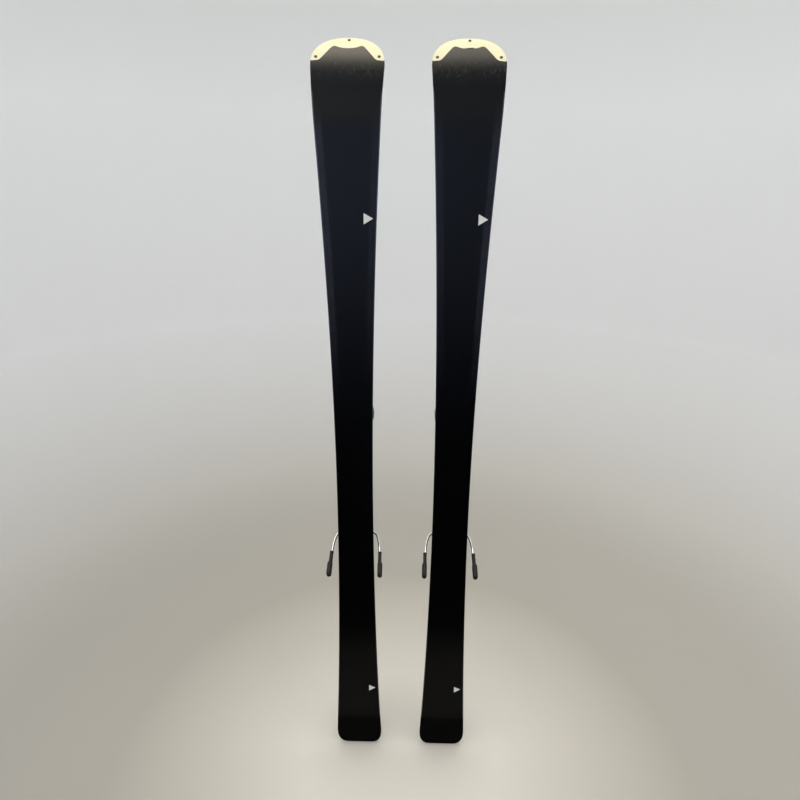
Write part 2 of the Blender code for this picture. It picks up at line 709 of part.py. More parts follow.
def main():
    clear_scene()
    for ski, side in (("left", -1), ("right", 1)):
        x = side * SPACING / 2
        make_laminates(ski, x)
        make_toe(ski, x)
        make_heel(ski, x)


main()
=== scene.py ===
"""Looks of a pair of alpine skis with rail bindings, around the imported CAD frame.

Z runs along the skis from tail to tip, X across them, the running bases face -Y and the bindings +Y.
The laminates are rebuilt from the formulas of the CAD part, with finer sections.
A solid is a list of rings, each with the same number of points, and a skin joins them.
"""

import math

import bmesh
import bpy
from mathutils import Matrix, Vector


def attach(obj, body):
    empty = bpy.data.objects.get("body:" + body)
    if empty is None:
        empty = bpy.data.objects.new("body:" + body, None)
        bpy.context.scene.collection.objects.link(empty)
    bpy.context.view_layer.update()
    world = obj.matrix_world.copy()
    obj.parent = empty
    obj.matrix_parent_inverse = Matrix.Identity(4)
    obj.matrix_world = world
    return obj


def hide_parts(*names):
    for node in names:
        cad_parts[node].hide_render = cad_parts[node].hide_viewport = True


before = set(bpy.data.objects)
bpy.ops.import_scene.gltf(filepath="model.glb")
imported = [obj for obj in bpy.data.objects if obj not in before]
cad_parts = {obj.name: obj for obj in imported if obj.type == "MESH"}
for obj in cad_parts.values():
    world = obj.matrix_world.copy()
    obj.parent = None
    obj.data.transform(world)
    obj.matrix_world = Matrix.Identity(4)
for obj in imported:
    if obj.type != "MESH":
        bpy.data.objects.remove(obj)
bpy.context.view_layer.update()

SPACING = 0.205
GAP = 0.0003
SMOOTH_ANGLE = 32
BEVEL_ANGLE = 30

# --- the ski's shape, as in the CAD part ---
SKI_LENGTH = 1.570
WAIST_WIDTH = 0.0764
WAIST_Z = 0.7236
FRONT_SIDECUT = 13.27
REAR_SIDECUT = 13.91
TIP_WIDEST = 1.530
TIP_EXPONENT = 2.2
TAIL_CORNER = 0.050
TAIL_END_HALF = 0.028
TAIL_EXPONENT = 2.4
CAMBER = 0.010
CURL_START = 1.430
CURL_RADIUS = 0.200
KICK_END = 0.100
KICK_RADIUS = 0.45
MIDDLE_THICKNESS = 0.0145
END_THICKNESS = 0.0055
THICK_MIDDLE = 0.70
THICK_HALF_LENGTH = 0.25
THICK_FADE = 0.45
BASE_SHEET = 0.0013
EDGE_WIDTH = 0.0020
EDGE_HEIGHT = 0.0021
EDGE_CHAMFER = 0.00015
EDGE_START = 0.100
EDGE_END = 1.4835
SIDEWALL_WIDTH = 0.006
SIDEWALL_SLANT = 0.0014  # how far the top of a sidewall leans in
TOP_SHEET = 0.0010
TAIL_PLATE_END = 0.030
TAIL_PLATE_RISE = 0.0006
PLATE_START = 1.5355
PLATE_FOOT = 0.0535  # how far out the tip plate's inner contour reaches
PLATE_CONTOUR = (
    (0.0, 1.5612),
    (0.0100, 1.5619),
    (0.0175, 1.5643),
    (0.0250, 1.5682),
    (0.0480, 1.5373),
    (0.0700, 1.5373),
)
PLATE_ROUNDING = 0.0038
MARKS = {
    "upper": ((0.0261, 1.2685), (0.0261, 1.2880), (0.0430, 1.2787)),
    "lower": ((0.0257, 0.1810), (0.0257, 0.1982), (0.0406, 0.1903)),
}
RIVETS = ((0.0533, 1.5442), (-0.0538, 1.5438), (0.0012, 1.5796))

# --- the bindings, as in the CAD part ---
TOE_Z = 0.893
HEEL_Z = 0.578
DECK = 0.0345
FLANGE_UNDER = 0.0300
FLANGE_HALF = 0.0310
NECK_HALF = 0.0260
CARRIAGE_TOP = 0.0385
CARRIAGE_HALF = 0.0345
HOOK_UNDER = 0.0275
SLIDE_GAP = 0.0004
SCREW_RISE = 0.00005  # how far a screw head's rim stands above its seat
TOE_BORE_Y = 0.0520
HEEL_BORE_Y = 0.0600
WING_POST_X = 0.017
WING_POST_Z = TOE_Z + 0.015
HEEL_AXLE_Y = 0.0450
HEEL_AXLE_Z = HEEL_Z - 0.083
LEVER_Y = 0.0660
LEVER_Z = HEEL_Z - 0.081
LEVER_ANGLE = math.radians(38)
BRAKE_Y = 0.0460
BRAKE_Z = HEEL_Z + 0.021
BRAKE_ANGLE = math.radians(60)
WIRE_RADIUS = 0.0026
FOOT_START = 0.0489
FOOT_ACROSS = 0.0529
FOOT_SPLAY = 0.025


# ---------------------------------------------------------------- shape of a ski


def arc_end():
    return CURL_START + CURL_RADIUS * math.asin((SKI_LENGTH - CURL_START) / CURL_RADIUS)


def base_line(s):
    """(y, z, tilt) of the running base at arc length s from the tail."""
    if s > CURL_START:
        tilt = (s - CURL_START) / CURL_RADIUS
        return CURL_RADIUS * (1 - math.cos(tilt)), CURL_START + CURL_RADIUS * math.sin(tilt), tilt
    half = (CURL_START - KICK_END) / 2
    u = (s - KICK_END - half) / half
    y = slope = 0.0
    if abs(u) < 1:
        y = CAMBER * (1 - u * u) ** 2
        slope = -4 * CAMBER * u * (1 - u * u) / half
    if s < KICK_END:
        y = (KICK_END - s) ** 2 / (2 * KICK_RADIUS)
        slope = (s - KICK_END) / KICK_RADIUS
    return y, s, math.atan(slope)


def arc_length(point):
    """Arc length along the base line of the place nearest to a point of the ski."""
    if point.z < CURL_START - 0.002:
        return point.z
    angle = math.atan2(point.z - CURL_START, CURL_RADIUS - point.y)
    return CURL_START + CURL_RADIUS * max(angle, 0.0) if angle > 0 else point.z


def half_width(s):
    sidecut = FRONT_SIDECUT if s > WAIST_Z else REAR_SIDECUT
    if s > TIP_WIDEST:
        t = min(1.0, (s - TIP_WIDEST) / (arc_end() - TIP_WIDEST))
        return half_width(TIP_WIDEST) * (1 - t**TIP_EXPONENT) ** (1 / TIP_EXPONENT)
    if s < TAIL_CORNER:
        t = 1 - s / TAIL_CORNER
        bulge = (1 - t**TAIL_EXPONENT) ** (1 / TAIL_EXPONENT)
        return TAIL_END_HALF + (half_width(TAIL_CORNER) - TAIL_END_HALF) * bulge
    return WAIST_WIDTH / 2 + (s - WAIST_Z) ** 2 / (2 * sidecut)


def thickness(s):
    beyond = (abs(s - THICK_MIDDLE) - THICK_HALF_LENGTH) / THICK_FADE
    fade = (1 + math.cos(math.pi * min(1.0, max(0.0, beyond)))) / 2
    return END_THICKNESS + (MIDDLE_THICKNESS - END_THICKNESS) * fade


def stations(low, high, step=0.012):
    """Arc lengths from low to high, closer together in the rounded tail and tip."""
    found = {low, high}
    quarter = math.pi / 2
    tail_steps, tip_steps = 16, 30
    found |= {TAIL_CORNER * (1 - math.cos(quarter * i / tail_steps)) for i in range(tail_steps)}
    count = int((TIP_WIDEST - TAIL_CORNER) / step)
    found |= {TAIL_CORNER + (TIP_WIDEST - TAIL_CORNER) * i / count for i in range(count)}
    tip_length = arc_end() - TIP_WIDEST
    found |= {TIP_WIDEST + tip_length * math.sin(quarter * i / tip_steps) for i in range(tip_steps + 1)}
    inside = sorted(s for s in found if low + GAP < s < high - GAP)
    return [low, *inside, high]


def along_points(points, x):
    """The value at x of a line through (x, value) points."""
    for (x0, v0), (x1, v1) in zip(points, points[1:]):
        if x <= x1:
            return v0 + (v1 - v0) * (x - x0) / (x1 - x0)
    return points[-1][1]


def plate_contour(x):
    """Arc length of the tip plate's inner contour at x, with its corners rounded."""
    count = 9
    shifts = [PLATE_ROUNDING * (2 * i / (count - 1) - 1) for i in range(count)]
    return sum(along_points(PLATE_CONTOUR, abs(x + shift)) for shift in shifts) / count


# ---------------------------------------------------------------- objects from rings


def shade(bm, angle):
    """Smooth shading, except along edges sharper than the given angle."""
    limit = math.radians(angle)
    for face in bm.faces:
        face.smooth = True
    for edge in bm.edges:
        edge.smooth = len(edge.link_faces) == 2 and edge.calc_face_angle(0) < limit


def finished(name, bm, material, smooth=SMOOTH_ANGLE):
    """An object made from bm."""
    bmesh.ops.recalc_face_normals(bm, faces=bm.faces[:])
    shade(bm, smooth)
    mesh = bpy.data.meshes.new(name)
    bm.to_mesh(mesh)
    bm.free()
    obj = bpy.data.objects.new(name, mesh)
    bpy.context.scene.collection.objects.link(obj)
    mesh.materials.append(material)
    return obj


def skin(bm, rings, caps=True):
    made = [[bm.verts.new(point) for point in ring] for ring in rings]
    count = len(made[0])
    for low, high in zip(made, made[1:]):
        for i in range(count):
            j = (i + 1) % count
            bm.faces.new((low[i], low[j], high[j], high[i]))
    if caps:
        bm.faces.new(made[0][::-1])
        bm.faces.new(made[-1])
    return made


def soften(obj, width, segments=2):
    """Rounds an object's edges with a bevel."""
    bevel = obj.modifiers.new("Bevel", "BEVEL")
    bevel.width = width
    bevel.segments = segments
    bevel.limit_method = "ANGLE"
    bevel.angle_limit = math.radians(BEVEL_ANGLE)
    bevel.use_clamp_overlap = True
    bevel.harden_normals = True
    return obj


def built(name, material, *solids, smooth=SMOOTH_ANGLE, bevel=0.0, segments=2):
    """One object of closed solids."""
    bm = bmesh.new()
    for rings in solids:
        skin(bm, rings)
    obj = finished(name, bm, material, smooth)
    return soften(obj, bevel, segments) if bevel else obj


def cut(obj, *solids):
    """Cuts closed solids out of obj."""
    tool = built("cutter", obj.data.materials[0], *solids)
    modifier = obj.modifiers.new("Cut", "BOOLEAN")
    modifier.operation = "DIFFERENCE"
    modifier.solver = "EXACT"
    modifier.object = tool
    graph = bpy.context.evaluated_depsgraph_get()
    mesh = bpy.data.meshes.new_from_object(obj.evaluated_get(graph))
    obj.modifiers.clear()
    obj.data = mesh
    bpy.data.objects.remove(tool)
    bm = bmesh.new()
    bm.from_mesh(mesh)
    shade(bm, SMOOTH_ANGLE)
    bm.to_mesh(mesh)
    bm.free()
    return obj


class Ski:
    """One ski of the pair: left has side -1 and right has side 1."""

    def __init__(self, name, side):
        self.name = name
        self.x = side * SPACING / 2
        self.sides = ((side, "outer"), (-side, "inner"))  # X direction, and what it faces in the pair

    def built(self, name, material, *solids, **looks):
        return built(f"{self.name}_{name}", material, *solids, **looks)

    def place(self, obj, body, slot, node=None):
        """obj rides on the body and stands for the CAD node, if any. The slot is not used."""
        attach(obj, f"{self.name}_{body}")
        if node:
            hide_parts(f"{self.name}_{node}")

    def piece(self, name, material, body, slot, *solids, node=None, **looks):
        self.place(self.built(name, material, *solids, **looks), body, slot, node)

    def point(self, x, s, offset):
        """The point at x from the ski's centre line, arc length s, and offset above the base."""
        y, z, tilt = base_line(s)
        return Vector((self.x + x, y + offset * math.cos(tilt), z - offset * math.sin(tilt)))

    def layer(self, name, material, low, high, profile, smooth=SMOOTH_ANGLE):
        """A layer of the ski: profile(s) gives its section's (x, offset) points at arc length s."""
        rings = [[self.point(x, s, off) for x, off in profile(s)] for s in stations(low, high)]
        return self.built(name, material, rings, smooth=smooth)

    def bar(self, half, y_range, z_range):
        """A box across the middle of the ski."""
        return box((self.x - half, self.x + half), y_range, z_range)

    def flank(self, side, near, far):
        """The X range between two distances from the middle, towards one side."""
        return sorted((self.x + side * near, self.x + side * far))

    def sheet_ring(self, row):
        """A section of a sheet as thick as the running base, under and over (x, s) points."""
        under = [self.point(x, s, 0.0) for x, s in row]
        return under + [self.point(x, s, BASE_SHEET) for x, s in reversed(row)]

    def mark_places(self, obj):
        """Stores each point's place across (outwards from the pair) and along, and the half width there."""
        mesh = obj.data
        names = ("across", "along", "half")
        across, along, half = (mesh.attributes.new(name, "FLOAT", "POINT") for name in names)
        for i, vertex in enumerate(mesh.vertices):
            s = arc_length(vertex.co)
            across.data[i].value = (vertex.co.x - self.x) * math.copysign(1, self.x)
            along.data[i].value = s
            half.data[i].value = half_width(min(s, TIP_WIDEST))


# ---------------------------------------------------------------- rings of plain solids


def prism(outline, start, end):
    start, end = Vector(start), Vector(end)
    outline = [Vector(point) for point in outline]
    return [[p + start for p in outline], [p + end for p in outline]]


def plate(x, outline, low, high, z=0.0):
    """An outline of (across, along) points between two heights above the base plane."""
    return prism([(x + a, 0, z + b) for a, b in outline], (0, low, 0), (0, high, 0))


def side_view(outline, low, high, z=0.0):
    """An outline of (height, along) points between two X places."""
    return prism([(0, a, z + b) for a, b in outline], (low, 0, 0), (high, 0, 0))


def box(x_range, y_range, z_range):
    (x0, x1), (y0, y1), (z0, z1) = x_range, y_range, z_range
    return prism([(x0, y0, 0), (x1, y0, 0), (x1, y1, 0), (x0, y1, 0)], (0, 0, z0), (0, 0, z1))


def turned(centre, axis, profile, sides=32):
    """Turned round axis 0, 1 or 2 through centre, from (place along the axis, radius) points."""
    rings = []
    for height, radius in profile:
        ring = []
        for i in range(sides):
            turn = 2 * math.pi * i / sides
            point = Vector(centre)
            point[(axis + 1) % 3] += radius * math.cos(turn)
            point[(axis + 2) % 3] += radius * math.sin(turn)
            point[axis] += height
            ring.append(point)
        rings.append(ring)
    return rings


def tube(path, radius, sides=14):
    """A round bar along a path."""
    rings = []
    normal = None
    turns = [2 * math.pi * k / sides for k in range(sides)]
    for i, point in enumerate(path):
        tangent = (path[min(i + 1, len(path) - 1)] - path[max(i - 1, 0)]).normalized()
        normal = tangent.orthogonal() if normal is None else normal
        normal = (normal - tangent * normal.dot(tangent)).normalized()
        side = tangent.cross(normal)
        rings.append([point + (normal * math.cos(t) + side * math.sin(t)) * radius for t in turns])
    return rings


def corner_curve(start, corner, end, steps):
    """Points of the rounding of a corner, from start to end."""
    shares = [i / steps for i in range(steps + 1)]
    return [start * (1 - t) ** 2 + corner * (2 * t * (1 - t)) + end * t**2 for t in shares]


def filleted(points, radius, steps=4):
    """A closed outline of 2-D points with each corner rounded."""
    points = [Vector(point) for point in points]
    outline = []
    for i, corner in enumerate(points):
        into, out = points[i - 1] - corner, points[(i + 1) % len(points)] - corner
        reach = min(radius, 0.45 * into.length, 0.45 * out.length)
        start, end = corner + into.normalized() * reach, corner + out.normalized() * reach
        outline += corner_curve(start, corner, end, steps)
    return outline


def bent_path(corners, radius, steps=12):
    """A path through corners that are rounded."""
    path = [corners[0]]
    for before, corner, after in zip(corners, corners[1:], corners[2:]):
        start = corner + (before - corner).normalized() * radius
        end = corner + (after - corner).normalized() * radius
        path += corner_curve(start, corner, end, steps)
    return [*path, corners[-1]]


def mirrored(half):
    """A whole outline from (across, other) points of its right half."""
    return [*half, *((-a, b) for a, b in reversed(half))]


def rounded_rectangle(half_a, half_b, radius, steps=4):
    points = []
    for quarter, (sa, sb) in enumerate(((1, 1), (-1, 1), (-1, -1), (1, -1))):
        for i in range(steps + 1):
            angle = math.pi / 2 * (quarter + i / steps)
            a = sa * (half_a - radius) + radius * math.cos(angle)
            b = sb * (half_b - radius) + radius * math.sin(angle)
            points.append((a, b))
    return points


# ---------------------------------------------------------------- materials


def fill_ramp(node, stops):
    elements = node.color_ramp.elements
    while len(elements) < len(stops):
        elements.new(0.5)
    for element, (place, colour) in zip(elements, stops):
        element.position = place
        element.color = (*colour, 1.0)


class Nodes:
    """A node tree under construction. Values are numbers, colours or the outputs of other nodes."""

    def __init__(self, tree):
        self.tree = tree

    def node(self, kind, inputs=(), **settings):
        made = self.tree.nodes.new(kind)
        for name, value in settings.items():
            setattr(made, name, value)
        for key, value in dict(inputs).items():
            self.feed(made.inputs[key], value)
        return made

    def feed(self, socket, value):
        if isinstance(value, bpy.types.NodeSocket):
            self.tree.links.new(value, socket)
        else:
            socket.default_value = value

    def map_range(self, value, source, target=(0.0, 1.0), **settings):
        names = ("From Min", "From Max", "To Min", "To Max")
        inputs = {"Value": value, **dict(zip(names, (*source, *target)))}
        return self.node("ShaderNodeMapRange", inputs, **settings).outputs["Result"]

    def mix(self, factor, first, second):
        made = self.node("ShaderNodeMix", {"Factor": factor}, data_type="RGBA")
        for socket, value in ((made.inputs[6], first), (made.inputs[7], second)):
            self.feed(socket, value if isinstance(value, bpy.types.NodeSocket) else (*value, 1.0))
        return made.outputs[2]


class Finish(Nodes):
    """A material under construction."""

    def __init__(self, name, roughness=0.5, metallic=0.0, **sockets):
        self.material = bpy.data.materials.new(name)
        self.material.use_nodes = True
        super().__init__(self.material.node_tree)
        self.inputs = self.tree.nodes["Principled BSDF"].inputs
        self.inputs["Roughness"].default_value = roughness
        self.inputs["Metallic"].default_value = metallic
        for socket, value in sockets.items():
            self.inputs[socket.replace("_", " ")].default_value = value

    def place(self):
        return self.node("ShaderNodeTexCoord").outputs["Object"]

    def ski_place(self):
        """(across, along, distance from the side) of a point of the ski."""
        names = ("across", "along", "half")
        nodes = [self.node("ShaderNodeAttribute", attribute_name=name) for name in names]
        across, along, half = (node.outputs["Fac"] for node in nodes)
        return across, along, self.math("SUBTRACT", half, self.math("ABSOLUTE", across))

    def math(self, operation, first, second=0.0):
        return self.node("ShaderNodeMath", {0: first, 1: second}, operation=operation).outputs[0]

    def product(self, first, *others):
        for other in others:
            first = self.math("MULTIPLY", first, other)
        return first

    def step(self, value, low, high):
        """0 below low, 1 above high, smooth between."""
        return self.map_range(value, (low, high), interpolation_type="SMOOTHSTEP")

    def fall(self, value, low, high):
        """1 below low, 0 above high, smooth between."""
        return self.math("SUBTRACT", 1.0, self.step(value, low, high))

    def within(self, value, low, high, soft=0.0004):
        """1 between low and high, 0 outside, with soft borders."""
        rise = self.step(value, low - soft, low + soft)
        return self.product(rise, self.fall(value, high - soft, high + soft))

    def level(self, factor, low, high):
        """A number between low and high, from a factor between 0 and 1."""
        return self.map_range(factor, (0.0, 1.0), (low, high))

    def scaled(self, vector, scale):
        return self.node("ShaderNodeMapping", {"Vector": vector, "Scale": scale}).outputs["Vector"]

    def noise(self, vector, scale, detail=3.0, roughness=0.55):
        inputs = {"Vector": vector, "Scale": scale, "Detail": detail, "Roughness": roughness}
        return self.node("ShaderNodeTexNoise", inputs).outputs["Fac"]

    def ramp(self, value, top, stops):
        """A colour from a number between 0 and top; stops are (share of top, colour)."""
        made = self.node("ShaderNodeValToRGB", {"Fac": self.math("DIVIDE", value, top)})
        fill_ramp(made, stops)
        return made.outputs["Color"]

    def bump(self, height, distance):
        """Bumps on top of the ones made before."""
        inputs = {"Height": height, "Distance": distance, "Strength": 1.0}
        if self.inputs["Normal"].is_linked:
            inputs["Normal"] = self.inputs["Normal"].links[0].from_socket
        self.feed(self.inputs["Normal"], self.node("ShaderNodeBump", inputs).outputs["Normal"])

    def colour(self, value):
        self.feed(self.inputs["Base Color"], value)

    def rough(self, first, *others):
        """The roughness, as a sum."""
        for other in others:
            first = self.math("ADD", first, other)
        self.feed(self.inputs["Roughness"], first)


IVORY_PRINT = (0.70, 0.67, 0.56)


def base_finish():
    """Black sintered polyethylene, stone ground along the ski, with painted reflections: bluer towards the
    tip, and paler beside each front edge.
    """
    finish = Finish("running_base", IOR=1.5)
    across, along, from_side = finish.ski_place()
    place = finish.place()
    grain = finish.noise(finish.scaled(place, (900, 900, 9)), 1.0, 4)
    scratches = finish.noise(finish.scaled(place, (300, 300, 22)), 1.0, 5, 0.75)
    blotches = finish.noise(finish.scaled(place, (30, 30, 12)), 1.0, 3)
    haze = finish.noise(finish.scaled(place, (60, 60, 45)), 1.0, 4, 0.6)
    front = finish.step(along, 0.80, 1.25)
    tip = finish.step(along, 1.490, 1.515)
    # A painted reflection: a paler, bluish band beside each front edge, stronger on the outer side and
    # fading towards both ends.
    painted_reflection_band = finish.product(
        finish.fall(from_side, 0.010, 0.017),
        finish.step(along, 0.90, 1.22),
        finish.fall(along, 1.40, 1.47),
        finish.level(blotches, 0.3, 1.3),
        finish.level(finish.step(across, -0.01, 0.01), 0.45, 1.0),
    )
    # Painted reflection: the base's colour turns bluer towards the tip, like the dim blue room it reflects
    # there.
    colour = finish.mix(front, (0.0010, 0.0010, 0.0011), (0.0022, 0.0028, 0.0044))
    colour = finish.mix(painted_reflection_band, colour, (0.020, 0.021, 0.030))
    marked = finish.product(tip, finish.step(scratches, 0.50, 0.72), 0.5)
    finish.colour(finish.mix(marked, colour, (0.040, 0.040, 0.040)))
    finish.rough(
        finish.level(grain, 0.15, 0.23),
        finish.level(blotches, -0.03, 0.05),
        finish.product(tip, finish.level(scratches, -0.05, 0.14)),
        finish.level(haze, -0.02, 0.03),
    )
    finish.bump(grain, 0.00004)
    finish.bump(finish.product(scratches, tip), 0.00006)
    return finish.material


def top_finish():
    """Lacquered graphite with plain bands: chevrons towards both ends and a line along the sides."""
    finish = Finish("top_sheet", IOR=1.5, Coat_Weight=0.35, Coat_Roughness=0.12)
    across, along, from_side = finish.ski_place()
    place = finish.place()
    inputs = {"Vector": place, "Scale": 190.0, "Distortion": 0.6}
    weave = finish.node("ShaderNodeTexWave", inputs, bands_direction="DIAGONAL").outputs["Fac"]
    flakes = finish.noise(place, 900.0, 3)
    scuffs = finish.noise(finish.scaled(place, (50, 50, 26)), 1.0, 5, 0.7)
    middle = finish.math("ABSOLUTE", across)

    def slanted(slope):
        return finish.math("ADD", finish.math("MULTIPLY", middle, slope), along)

    def chevrons(slope, low, high, share, pitch=0.052, soft=0.0004):
        shifted = slanted(slope)
        repeat = finish.math("MODULO", shifted, pitch)
        inside = finish.fall(repeat, pitch * share - soft, pitch * share + soft)
        zone = finish.within(shifted, low, high)
        return finish.product(inside, zone, finish.step(from_side, 0.0100, 0.0108))

    colour = finish.mix(finish.product(weave, 0.5), (0.012, 0.013, 0.016), (0.030, 0.032, 0.037))
    field = finish.within(slanted(0.9), 1.170, 1.640)
    colour = finish.mix(finish.product(field, 0.85), colour, (0.075, 0.079, 0.086))
    colour = finish.mix(chevrons(0.9, 1.20, 1.46, 0.42), colour, IVORY_PRINT)
    colour = finish.mix(chevrons(-0.9, 0.115, 0.330, 0.30), colour, (0.30, 0.31, 0.32))
    line = finish.product(
        finish.within(from_side, 0.0042, 0.0056, 0.0002), finish.within(along, 0.045, 1.500, 0.002)
    )
    colour = finish.mix(line, colour, IVORY_PRINT)
    finish.colour(finish.mix(finish.product(flakes, 0.06), colour, (0.5, 0.5, 0.5)))
    finish.rough(finish.level(scuffs, 0.26, 0.34), finish.level(flakes, -0.03, 0.03))
    finish.bump(weave, 0.00002)
    return finish.material


def steel_finish(name, colour, roughness, scale=(900, 900, 25)):
    """Brushed or ground metal: fine lines along Z, with slight stains."""
    finish = Finish(name, metallic=1.0)
    place = finish.place()
    lines = finish.noise(finish.scaled(place, scale), 1.0, 4)
    stains = finish.noise(place, 60.0, 4, 0.6)
    dark = tuple(0.72 * c for c in colour)
    finish.colour(finish.mix(finish.step(stains, 0.35, 0.75), colour, dark))
    finish.rough(finish.level(lines, roughness - 0.07, roughness + 0.07), finish.level(stains, -0.05, 0.08))
    finish.bump(lines, 0.00003)
    return finish.material


def plastic_finish(name, colour, roughness, grain=1800.0, depth=0.00006, wear=1.12, **sockets):
    """Moulded plastic with a fine grain and faint variation."""
    finish = Finish(name, **sockets)
    place = finish.place()
    fine = finish.noise(place, grain, 2)
    broad = finish.noise(place, 40.0, 4, 0.6)
    worn = tuple(min(1.0, wear * c) for c in colour)
    finish.colour(finish.mix(finish.step(broad, 0.35, 0.8), colour, worn))
    finish.rough(finish.level(broad, roughness - 0.06, roughness + 0.08), finish.level(fine, -0.04, 0.04))
    finish.bump(fine, depth)
    return finish.material


EVEN_LINES = (500, 500, 500)
BASE = base_finish()
EDGE_STEEL = steel_finish("ground_steel", (0.30, 0.305, 0.315), 0.22)
SIDEWALL = plastic_finish("sidewall", (0.012, 0.012, 0.013), 0.75, Specular_IOR_Level=0.15)
TIP_IVORY = plastic_finish("tip_plate_ivory", (0.74, 0.69, 0.45), 0.34, wear=0.95)
ALUMINIUM = steel_finish("aluminium", (0.72, 0.73, 0.75), 0.34)
TOP = top_finish()
WOOD = plastic_finish("tip_filler", (0.012, 0.012, 0.013), 0.7, Specular_IOR_Level=0.2)
MARK = plastic_finish("printed_mark", (0.82, 0.82, 0.80), 0.45, wear=0.95)
SHELL = plastic_finish("binding_plastic", (0.040, 0.041, 0.045), 0.40)
RAIL = plastic_finish("rail_plastic", (0.022, 0.022, 0.024), 0.45)
RUNG = plastic_finish("rack_plastic", (0.055, 0.056, 0.060), 0.40)
SLIDER = plastic_finish("slider_plastic", (0.55, 0.56, 0.57), 0.30, wear=0.88)
ACCENT = plastic_finish("accent_plastic", (0.80, 0.77, 0.65), 0.36, wear=0.92)
WINDOW = plastic_finish("window_plastic", (0.012, 0.012, 0.014), 0.12, 300.0, 0.00001, Coat_Weight=0.6)
RUBBER = plastic_finish("rubber", (0.010, 0.010, 0.010), 0.62, 900.0, 0.00012)
FOOT = plastic_finish("foot_plastic", (0.012, 0.012, 0.013), 0.50, 700.0, 0.00012, Specular_IOR_Level=0.35)
STEEL = steel_finish("zinc_plated_steel", (0.50, 0.51, 0.53), 0.34, EVEN_LINES)
BRASS = steel_finish("brass", (0.66, 0.52, 0.28), 0.32, EVEN_LINES)
CHROME = steel_finish("chromed_wire", (0.78, 0.79, 0.81), 0.16, (400, 400, 400))


# ---------------------------------------------------------------- laminates


def across_grid(half, columns):
    return [half * (2 * i / columns - 1) for i in range(columns + 1)]


def base_half(s):
    """Half width of the running base, which leaves room for the edges."""
    with_edges = EDGE_START - GAP < s < EDGE_END + GAP
    return half_width(min(s, PLATE_START)) - (EDGE_WIDTH + GAP if with_edges else 0.0)


def make_base(ski):
    """The running base, whose front end follows the tip plate's contour."""
    columns, tip_rows, body_end, jump_half = 48, 14, 1.520, 0.00005
    steps = stations(0.0, body_end)
    for jump in (EDGE_START - GAP, EDGE_END + GAP):
        steps += [jump - jump_half, jump + jump_half]
    rows = [[(x, s) for x in across_grid(base_half(s), columns)] for s in sorted(steps)]
    for k in range(1, tip_rows + 1):
        row = []
        for x in across_grid(half_width(PLATE_START), columns):
            s = body_end + k / tip_rows * (plate_contour(x) - GAP - body_end)
            row.append((x * half_width(min(s, PLATE_START)) / half_width(PLATE_START), s))
        rows.append(row)
    obj = ski.built("running_base", BASE, [ski.sheet_ring(row) for row in rows])
    ski.mark_places(obj)
    ski.place(obj, "ski", "base_polyethylene", "base")


def make_tip_plate(ski):
    """The pale horseshoe in the tip: a band between the inner contour and the ski's outline."""
    count, columns = 61, 6
    half = half_width(PLATE_START)
    rings = []
    for i in range(count):
        angle = math.pi * i / (count - 1)
        xi = PLATE_FOOT * math.cos(angle)
        si = plate_contour(xi)
        reach_x = abs(math.cos(angle)) ** (2 / TIP_EXPONENT) * math.copysign(1, math.cos(angle))
        reach_s = math.sin(angle) ** (2 / TIP_EXPONENT)
        xo = half_width(TIP_WIDEST) * reach_x
        xo = math.copysign(min(abs(xo), half), xo)
        so = max(TIP_WIDEST + (arc_end() - TIP_WIDEST) * reach_s, PLATE_START)
        shares = [k / columns for k in range(columns + 1)]
        rings.append(ski.sheet_ring([(xi + (xo - xi) * t, si + (so - si) * t) for t in shares]))
    ski.piece("tip_horseshoe", TIP_IVORY, "ski", "tip_ivory", rings, node="tip_plate", bevel=0.00025)


def edge_section(s):
    outer = half_width(s)
    return (
        (outer - EDGE_WIDTH, 0.0),
        (outer - EDGE_CHAMFER, 0.0),
        (outer, EDGE_CHAMFER),
        (outer, EDGE_HEIGHT),
        (outer - EDGE_WIDTH, EDGE_HEIGHT),
    )


def sidewall_section(s):
    outer, top = half_width(s), thickness(s) - TOP_SHEET - GAP
    low = EDGE_HEIGHT + GAP
    return (
        (outer - SIDEWALL_WIDTH, low),
        (outer - 0.0001, low),
        (outer - 0.0001, low + 0.3 * (top - low)),
        (outer - SIDEWALL_SLANT, top),
        (outer - SIDEWALL_WIDTH, top),
    )


def make_sides(ski, section, name, material, slot, node):
    """The steel edges or the sidewalls."""
    for side, place in ski.sides:

        def profile(s, side=side):
            return [(side * x, off) for x, off in section(s)]

        obj = ski.layer(f"{name}_{place}", material, EDGE_START, EDGE_END, profile)
        ski.place(obj, "ski", slot, f"{node}_{place}")


def slab(half, low, high):
    return [(-half, low), (half, low), (half, high), (-half, high)]


def core_section(s):
    """The core reaches the ski's sides as a filler at tip and tail."""
    with_walls = EDGE_START - GAP < s < EDGE_END + GAP
    half = half_width(s) - (SIDEWALL_WIDTH + GAP if with_walls else 0.0)
    return slab(max(half, 0.001), BASE_SHEET + GAP, thickness(s) - TOP_SHEET - GAP)


def topsheet_section(s):
    inset = SIDEWALL_SLANT * min(1.0, max(0.0, (s - 0.06) / 0.06), max(0.0, (arc_end() - s) / 0.05))
    half = max(half_width(s) - inset, 0.0015)
    low, high, rim = thickness(s) - TOP_SHEET, thickness(s), thickness(s) - 0.0004
    columns = 10
    crown = [(half * (1 - 2 * i / columns) * 0.988, high) for i in range(columns + 1)]
    return [(-half, low), (half, low), (half, rim), *crown, (-half, rim)]


def tail_section(s):
    return slab(max(half_width(s), 0.001), thickness(s) - TOP_SHEET, thickness(s) + TAIL_PLATE_RISE)


